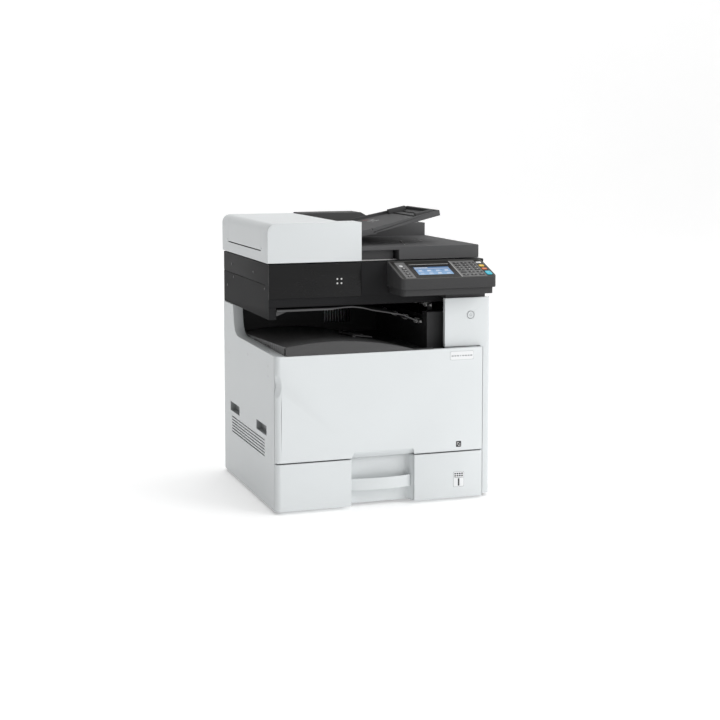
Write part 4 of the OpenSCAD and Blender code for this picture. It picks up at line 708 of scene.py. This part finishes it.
class COPIER_OT_keys(bpy.types.Operator):
    """Keys of the operation panel with their printed figures and signs"""
    bl_idname = "copier.keys"
    bl_label = "Panel keys"

    def execute(self, context):
        dark, white, yellow, orange, cyan = (moulded(name, colour, rough, 0.00002, 0.0) for name, colour, rough in (
            ("key_charcoal", (0.012, 0.012, 0.013), 0.34), ("key_white", (0.82, 0.83, 0.83), 0.38),
            ("key_yellow", (0.80, 0.50, 0.01), 0.38), ("key_orange", (0.74, 0.15, 0.02), 0.38),
            ("key_cyan", (0.03, 0.50, 0.66), 0.38)))
        ink = moulded("key_print_white", (0.72, 0.72, 0.70), 0.5, 0.00001, 0.0)
        black = moulded("key_print_dark", (0.02, 0.02, 0.02), 0.5, 0.00001, 0.0)

        xs, ys = PAD_COLUMNS, PAD_ROWS
        pad = self.keys("number_keys_caps", [(x, y) for x in xs for y in ys], *PAD_KEY)
        self.place("number_keys", pad, dark)
        figures = ["123", "456", "789", ".0#"]
        prints = [digits("figure", figures[r][c], panel_point(xs[c], ys[r + 1], KEY_UP), *PANEL_AXES, 0.0075)
                  for r in range(4) for c in range(3)]
        prints += [self.sign(x, ys[0]) for x in xs] + [self.sign(x, ys[5]) for x in xs]
        add_object("number_key_figures", join("number_key_figures", prints), "keys_number", ink)

        column = self.keys("function_keys_caps", [(FUNCTION_COLUMN, y) for y in FUNCTION_ROWS], *FUNCTION_KEY)
        self.place("function_keys", column, dark)
        signs = [ring_mesh("sign", panel_point(FUNCTION_COLUMN, y, KEY_UP), *PANEL_AXES, 0.0022, 0.0015, PRINT,
                           0, 360 if i % 2 else 250, 24) for i, y in enumerate(FUNCTION_ROWS)]
        add_object("function_key_signs", join("function_key_signs", signs), "keys_function", ink)

        cap = pillow("home_cap", panel_point(*HOME_KEY, HOME_LOW), *PANEL_AXES, HOME_WIDTH * MM, HOME_WIDTH * MM,
                     (KEY_UP - HOME_LOW) * MM, 2.0, 8, 40)
        self.place("home_key", cap, white)
        sign = ring_mesh("home_key_sign", panel_point(*HOME_KEY, KEY_UP), *PANEL_AXES, 0.0030, 0.0022, PRINT,
                         30, 330, 32)
        add_object("home_key_sign", sign, "key_home", black)

        for node, u, v, w, h, up, cover in (
                ("energy_key", 245, 91, 14, 9, KEY_UP, white), ("reset_key", 245, 70, 14, 12, KEY_UP, yellow),
                ("stop_key", 245, 50.5, 14, 10, KEY_UP, orange), ("start_key", 246, 24, 16, 22, 1.5, cyan)):
            mesh = join(node + "_parts", [keycap(node, u, v, w, h, up), key_skirt(node, u, v, w, h)])
            self.place(node, mesh, cover)
            sign = ring_mesh("sign", panel_point(u, v, up), *PANEL_AXES, 0.0026, 0.0020, PRINT, 0, 300, 32)
            add_object(node + "_sign", sign, BODY_OF[node], ink if cover is not white else black)
        return {"FINISHED"}

    def keys(self, name, places, width, height):
        """The caps and then the skirts of a group of like keys, as one mesh."""
        caps = [keycap("cap", u, v, width, height, KEY_UP) for u, v in places]
        caps += [key_skirt("skirt", u, v, width, height) for u, v in places]
        return join(name, caps)

    def sign(self, u, v):
        """A short bar: a plain sign that says nothing."""
        return pillow("sign", panel_point(u, v, KEY_UP), *PANEL_AXES, 0.005, 0.0014, PRINT, 4.0, 3, 16)

    def place(self, node, mesh, material):
        """Shows a mesh in place of a key node."""
        piece = add_object(node + "_caps", mesh, BODY_OF[node], material)
        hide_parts(node)


# Places of the plates and marks on the front, as X and Z in millimetres.
NAME_PLATE = (204, 380.5)
STICKER = (196, 149)
LABEL = (196.5, 56)
POWER_SIGN = (236.4, 482.4)
SCANNER_DOTS = (-106, 577)
PLATE = 0.2  # thickness of a plate, in millimetres
FILM = 0.14  # thickness of the film on a plate
INK = 0.05  # thickness of a printed bar

# The document tray's printed face: its slope, its hinge side corner and its depth below that corner's line.
TRAY_TILT = math.radians(11.46)
TRAY_CORNER = np.array([8.0, 0.0, 704.2])
TRAY_FACE = -7.95
LID_TOP = 660  # height of the feeder's lid in millimetres
SCREW_HOLE_SPOTS = ((199, 594.6), (-33.6, 593.2), (178.3, 560.4), (247.5, 532.4), (-144.8, 559.9))  # Y and Z, millimetres


def face_plate(name, x, z, y, width, height, thick, corner=8.0):
    """A thin plate standing on a front face at depth y."""
    return pillow(name, (x * MM, y * MM, z * MM), AX_X, AX_Z, AX_FRONT, width * MM, height * MM, thick * MM, corner,
                  4, 40)


class COPIER_OT_marks(bpy.types.Operator):
    """Blank name plate, paper label, small sticker, power sign, dots and printed size marks"""
    bl_idname = "copier.marks"
    bl_label = "Plates and printed marks"

    def execute(self, context):
        line = moulded("print_grey", (0.30, 0.31, 0.32), 0.5, 0.00001, 0.0)
        dark = moulded("print_dark", (0.025, 0.025, 0.027), 0.45, 0.00001, 0.0)
        paper = moulded("label_film", (0.80, 0.81, 0.82), 0.35, 0.00002, 0.0, 600.0)
        # Pale print, which also serves as the painted highlight of the lid's rib.
        light = moulded("print_light_and_painted_highlight", (0.62, 0.62, 0.61), 0.5, 0.00001, 0.0)
        red = moulded("print_red", (0.45, 0.05, 0.035), 0.5, 0.00001, 0.0)
        rim = moulded("print_pale", (0.46, 0.48, 0.49), 0.5, 0.00001, 0.0)
        y_face, y_drawer, y_column, y_gloss = (
            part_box(node)[0][1] / MM for node in ("front_cover", "cassette_front", "power_button", "scanner_front"))
        self.name_plate(y_face, rim, paper, line)
        self.sticker(y_face, dark, light)
        self.drawer_label(y_drawer, dark, paper, line)
        self.power_sign(y_column, line)
        x, z = SCANNER_DOTS
        dots = [face_plate("dot", x + dx, z + dz, y_gloss, 4.6, 4.6, 0.25, 2.0) for dx in (-5.5, 5.5)
                for dz in (-5.5, 5.5)]
        add_object("scanner_dots", join("scanner_dots", dots), "machine", light)
        self.tray_marks(light, red)
        self.lid_marks(light)
        self.screws_and_hole_shade()
        spot = pillow("panel_dot", panel_point(108, 9, -0.1), *PANEL_AXES, 0.005, 0.0022, 0.0002, 2.0, 4, 24)
        add_object("panel_dot", spot, "machine", dark)
        return {"FINISHED"}

    def name_plate(self, y, rim, paper, line):
        """An outlined plate with a row of plain bars and nothing to read."""
        x, z = NAME_PLATE
        add_object("name_plate_rim", face_plate("name_plate_rim", x, z, y, 66, 23, PLATE, 12.0), "front_door", rim)
        add_object("name_plate", face_plate("name_plate", x, z, y - 0.18, 64.4, 21.4, FILM, 12.0), "front_door",
                   paper)
        bars = [face_plate("bar", x + 7.4 * (i - 3.5), z - 0.5, y - 0.3, w, 3.2, INK)
                for i, w in enumerate((6, 5.2, 6.2, 3, 6, 6, 5.4, 6.2))]
        add_object("name_plate_marks", join("name_plate_marks", bars), "front_door", line)

    def sticker(self, y, dark, light):
        """A small dark square with six pale dots."""
        x, z = STICKER
        add_object("square_sticker", face_plate("square_sticker", x, z, y, 14.5, 15.5, 0.25), "front_door", dark)
        dots = [face_plate("dot", x + dx, z + dz, y - 0.24, 2.6, 2.6, 0.06, 2.0)
                for dx in (-3.6, 0, 3.6) for dz in (-3.6, 0, 3.6) if dx != dz]
        add_object("square_sticker_marks", join("square_sticker_marks", dots), "front_door", light)

    def drawer_label(self, y, dark, paper, line):
        """A label with two rows of blocks, a line and the figure 1."""
        x, z = LABEL
        add_object("drawer_label_rim", face_plate("drawer_label_rim", x, z, y, 30, 40, PLATE, 16.0), "cassette", line)
        add_object("drawer_label", face_plate("drawer_label", x, z, y - 0.18, 28.4, 38.4, FILM, 16.0), "cassette",
                   paper)
        marks = [face_plate("mark", x + dx, z + 12 + dz, y - 0.32, 5.0, 3.6, INK)
                 for dx in (-9.6, -3.2, 3.2, 9.6) for dz in (-2.8, 2.8)]
        marks.append(face_plate("mark", x, z + 4.6, y - 0.32, 26, 1.0, INK))
        spot = (x * MM, (y - 0.36) * MM, (z - 8.5) * MM)
        marks.append(digits("mark", "1", spot, AX_X, AX_Z, AX_FRONT, 0.026, weight=0.0009))
        add_object("drawer_label_marks", join("drawer_label_marks", marks), "cassette", dark)

    def power_sign(self, y, line):
        """An open ring with a stem, and a fine ring round the button."""
        x, z = POWER_SIGN
        centre = np.array([x * MM, y * MM, z * MM])
        parts = [ring_mesh("arc", centre, AX_X, AX_Z, AX_FRONT, 0.0034, 0.0028, PRINT, 125, 415, 32),
                 face_plate("stem", x, z + 3.2, y, 0.7, 3.6, 0.1, 4.0)]
        add_object("power_sign", join("power_sign", parts), "button_power", line)
        rim = ring_mesh("power_rim", centre + AX_FRONT * PRINT, AX_X, AX_Z, AX_FRONT, 0.0100, 0.0089, 0.0003,
                        0, 360, 64)
        add_object("power_rim", rim, "button_power", line)

    def tray_marks(self, light, red):
        """Size bars printed across the document tray: two red ones and seven pale ones, in steps along its slope."""
        u = np.array([math.cos(TRAY_TILT), 0.0, math.sin(TRAY_TILT)])
        n = np.array([-math.sin(TRAY_TILT), 0.0, math.cos(TRAY_TILT)])
        bars = []
        for i in range(9):
            place = TRAY_CORNER + (66 + 5.5 * (i % 4)) * u + TRAY_FACE * n + (150 - 9.5 * i) * AX_Y
            bars.append(pillow("bar", place * MM, u, AX_Y, n, (11 if i % 2 else 5) * MM, 3.2 * MM, 0.00012, 5.0, 3,
                               16))
        add_object("tray_marks_red", join("tray_marks_red", bars[:2]), "doc_table", red)
        add_object("tray_marks", join("tray_marks", bars[2:]), "doc_table", light)

    def lid_marks(self, light):
        """A dark piece as painted shade in a slot, and a slanting pale rib as a painted highlight, on the feeder's
        lid.
        """
        # Painted shade: a thin black pad where the slot's inside is dark.
        slot = pillow("lid_slot_painted_shade", (190 * MM, 27 * MM, LID_TOP * MM), AX_X, AX_Y, AX_Z, 9 * MM, 72 * MM, 0.0003, 8.0,
                      3, 40)
        add_object("lid_slot_painted_shade", slot, "feeder", gloss_black("slot_painted_shade"))
        way = np.array([33.2, 120.2, 0.0]) / 124.7
        side = np.array([way[1], -way[0], 0.0])
        # Painted highlight: a thin pale ridge where a rib's edge catches the light.
        rib = pillow("lid_rib_painted_highlight", (115.2 * MM, -51.8 * MM, LID_TOP * MM), side, way, AX_Z, 2.2 * MM, 122 * MM, 0.0012,
                     4.0, 5, 40)
        add_object("lid_rib_painted_highlight", rib, "feeder", light)

    def screws_and_hole_shade(self):
        """Small round dark discs at the recessed screw holes on the scanner's left side: partly the screws, partly
        painted shade in their recesses.
        """
        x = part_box("scanner_tub")[0][0]
        # Gloss-black discs: the screws and the painted shade of the recesses round them.
        screws_and_hole_shade = [pillow("screw_and_hole_shade", (x, y * MM, z * MM), AX_Y, AX_Z, AX_LEFT, 6.5 * MM, 6.5 * MM, 0.0006, 2.0, 5, 24)
                 for y, z in SCREW_HOLE_SPOTS]
        add_object("scanner_screws_and_hole_shade", join("scanner_screws_and_hole_shade", screws_and_hole_shade), "machine", gloss_black("screw_black_and_hole_shade"))


# Each lamp's name, place, aim, side in metres and power in watts.
LAMPS = (("key_light", (2.7, -2.9, 1.9), (0, 0, 0.35), 2.2, 54),
         ("top_light", (0.6, 0.8, 5.6), (0, 0.4, 0.0), 5.0, 92))
SKY_RAMP = {"From Min": -0.75, "From Max": 0.15, "To Min": 0.24, "To Max": 0.85}
CAMERA_PLACE = (-1.2703, -3.7558, 0.9553)
CAMERA_AZIMUTH, CAMERA_HEIGHT, CAMERA_ROLL = (math.radians(v) for v in (-18.853, 5.463, -0.038))
CAMERA_LENS = 74.19
CAMERA_SHIFT = -0.12


class STUDIO_OT_build(bpy.types.Operator):
    """Pale floor, plain backdrop light, soft lamps and the camera"""
    bl_idname = "copier.studio"
    bl_label = "Studio"

    def execute(self, context):
        cfg = context.scene.studio
        floor = bpy.data.objects.new("studio_floor", self.sweep(cfg.reach))
        context.scene.collection.objects.link(floor)
        s = Shader("studio_floor")
        place, _ = s.coords()
        cloud = s.noise(place, 0.8, 3.0)
        s.surface(s.mix(cloud, shade(cfg.floor, 0.985), shade(cfg.floor, 1.01)), 0.75 + cloud * 0.1,
                  Emission_Color=(1.0, 1.0, 1.0), Emission_Strength=0.26)
        floor.data.materials.append(s.mat)
        for row in LAMPS:
            self.lamp(*row)
        world = bpy.data.worlds.new("studio_sky")
        context.scene.world = world
        world.use_nodes = True
        self.sky(world.node_tree)
        context.scene.view_settings.view_transform = "Standard"
        self.camera(context)
        return {"FINISHED"}

    def sweep(self, reach, bend=2.5, high=6.0):
        """Floor and backdrop in one sheet: a straight run, a quarter circle of radius bend and a straight rise,
        carried along X."""
        a = np.linspace(0, np.pi / 2, 24)
        y = np.concatenate([np.linspace(-reach, reach - bend, 12), reach - bend + bend * np.sin(a[1:]), [reach]])
        z = np.concatenate([np.zeros(12), bend * (1 - np.cos(a[1:])), [high]])
        x = np.linspace(-reach, reach, 12)
        points = np.stack(np.broadcast_arrays(x[None], y[:, None], z[:, None]), -1)
        mesh = grid_mesh("studio_floor", points)
        smooth(mesh)
        return mesh

    def sky(self, tree):
        """White all round, dimmer towards the left: the strength follows the X of the direction."""
        back = tree.nodes["Background"]
        back.inputs["Color"].default_value = (1, 1, 1, 1)
        coord = tree.nodes.new("ShaderNodeTexCoord")
        split = tree.nodes.new("ShaderNodeSeparateXYZ")
        ramp = tree.nodes.new("ShaderNodeMapRange")
        ramp.interpolation_type = "SMOOTHSTEP"
        for key, value in SKY_RAMP.items():
            ramp.inputs[key].default_value = value
        tree.links.new(coord.outputs["Generated"], split.inputs[0])
        tree.links.new(split.outputs[0], ramp.inputs["Value"])
        tree.links.new(ramp.outputs[0], back.inputs["Strength"])

    def lamp(self, name, place, target, size, power):
        """A square soft lamp that faces its target."""
        light = bpy.data.lights.new(name, "AREA")
        light.shape = "SQUARE"
        light.size = size
        light.energy = power
        lamp = bpy.data.objects.new(name, light)
        bpy.context.scene.collection.objects.link(lamp)
        lamp.location = place
        lamp.rotation_euler = (Vector(target) - Vector(place)).to_track_quat("-Z", "Y").to_euler()

    def camera(self, context):
        """The camera looks along the line that its azimuth and height give, turned by a slight roll."""
        az, el = CAMERA_AZIMUTH, CAMERA_HEIGHT
        back = Vector((math.sin(az) * math.cos(el), -math.cos(az) * math.cos(el), math.sin(el)))
        data = bpy.data.cameras.new("camera")
        data.lens = CAMERA_LENS
        data.shift_y = CAMERA_SHIFT
        data.sensor_width = 36.0
        data.clip_end = 60.0
        camera = bpy.data.objects.new("camera", data)
        context.scene.collection.objects.link(camera)
        camera.location = CAMERA_PLACE
        turn = (-back).to_track_quat("-Z", "Y").to_matrix()
        spin = turn @ Matrix.Rotation(CAMERA_ROLL, 3, "Z")
        camera.rotation_euler = spin.to_euler()
        context.scene.camera = camera


class COPIER_PT_panel(bpy.types.Panel):
    """Lists the steps that build the copier"""
    bl_label = "Photocopier"
    bl_idname = "COPIER_PT_panel"
    bl_space_type = "VIEW_3D"
    bl_region_type = "UI"
    bl_category = "Photocopier"

    def draw(self, context):
        for cfg in (context.scene.copier, context.scene.studio):
            for key in cfg.bl_rna.properties.keys():
                if key not in ("rna_type", "name"):
                    self.layout.prop(cfg, key)
        for step in STEPS:
            self.layout.operator(step)


STEPS = ("copier.covers", "copier.dark_covers", "copier.works", "copier.keys", "copier.marks", "copier.studio")
CLASSES = (CopierSettings, StudioSettings, COPIER_OT_covers, COPIER_OT_dark_covers, COPIER_OT_works, COPIER_OT_keys,
           COPIER_OT_marks, STUDIO_OT_build, COPIER_PT_panel)


def register():
    for cls in CLASSES:
        bpy.utils.register_class(cls)
    bpy.types.Scene.copier = bpy.props.PointerProperty(type=CopierSettings)
    bpy.types.Scene.studio = bpy.props.PointerProperty(type=StudioSettings)


def unregister():
    del bpy.types.Scene.copier
    del bpy.types.Scene.studio
    for cls in reversed(CLASSES):
        bpy.utils.unregister_class(cls)


def main():
    register()
    for step in STEPS:
        group, name = step.split(".")
        getattr(getattr(bpy.ops, group), name)()
    bpy.context.view_layer.update()


if __name__ == "__main__":
    main()
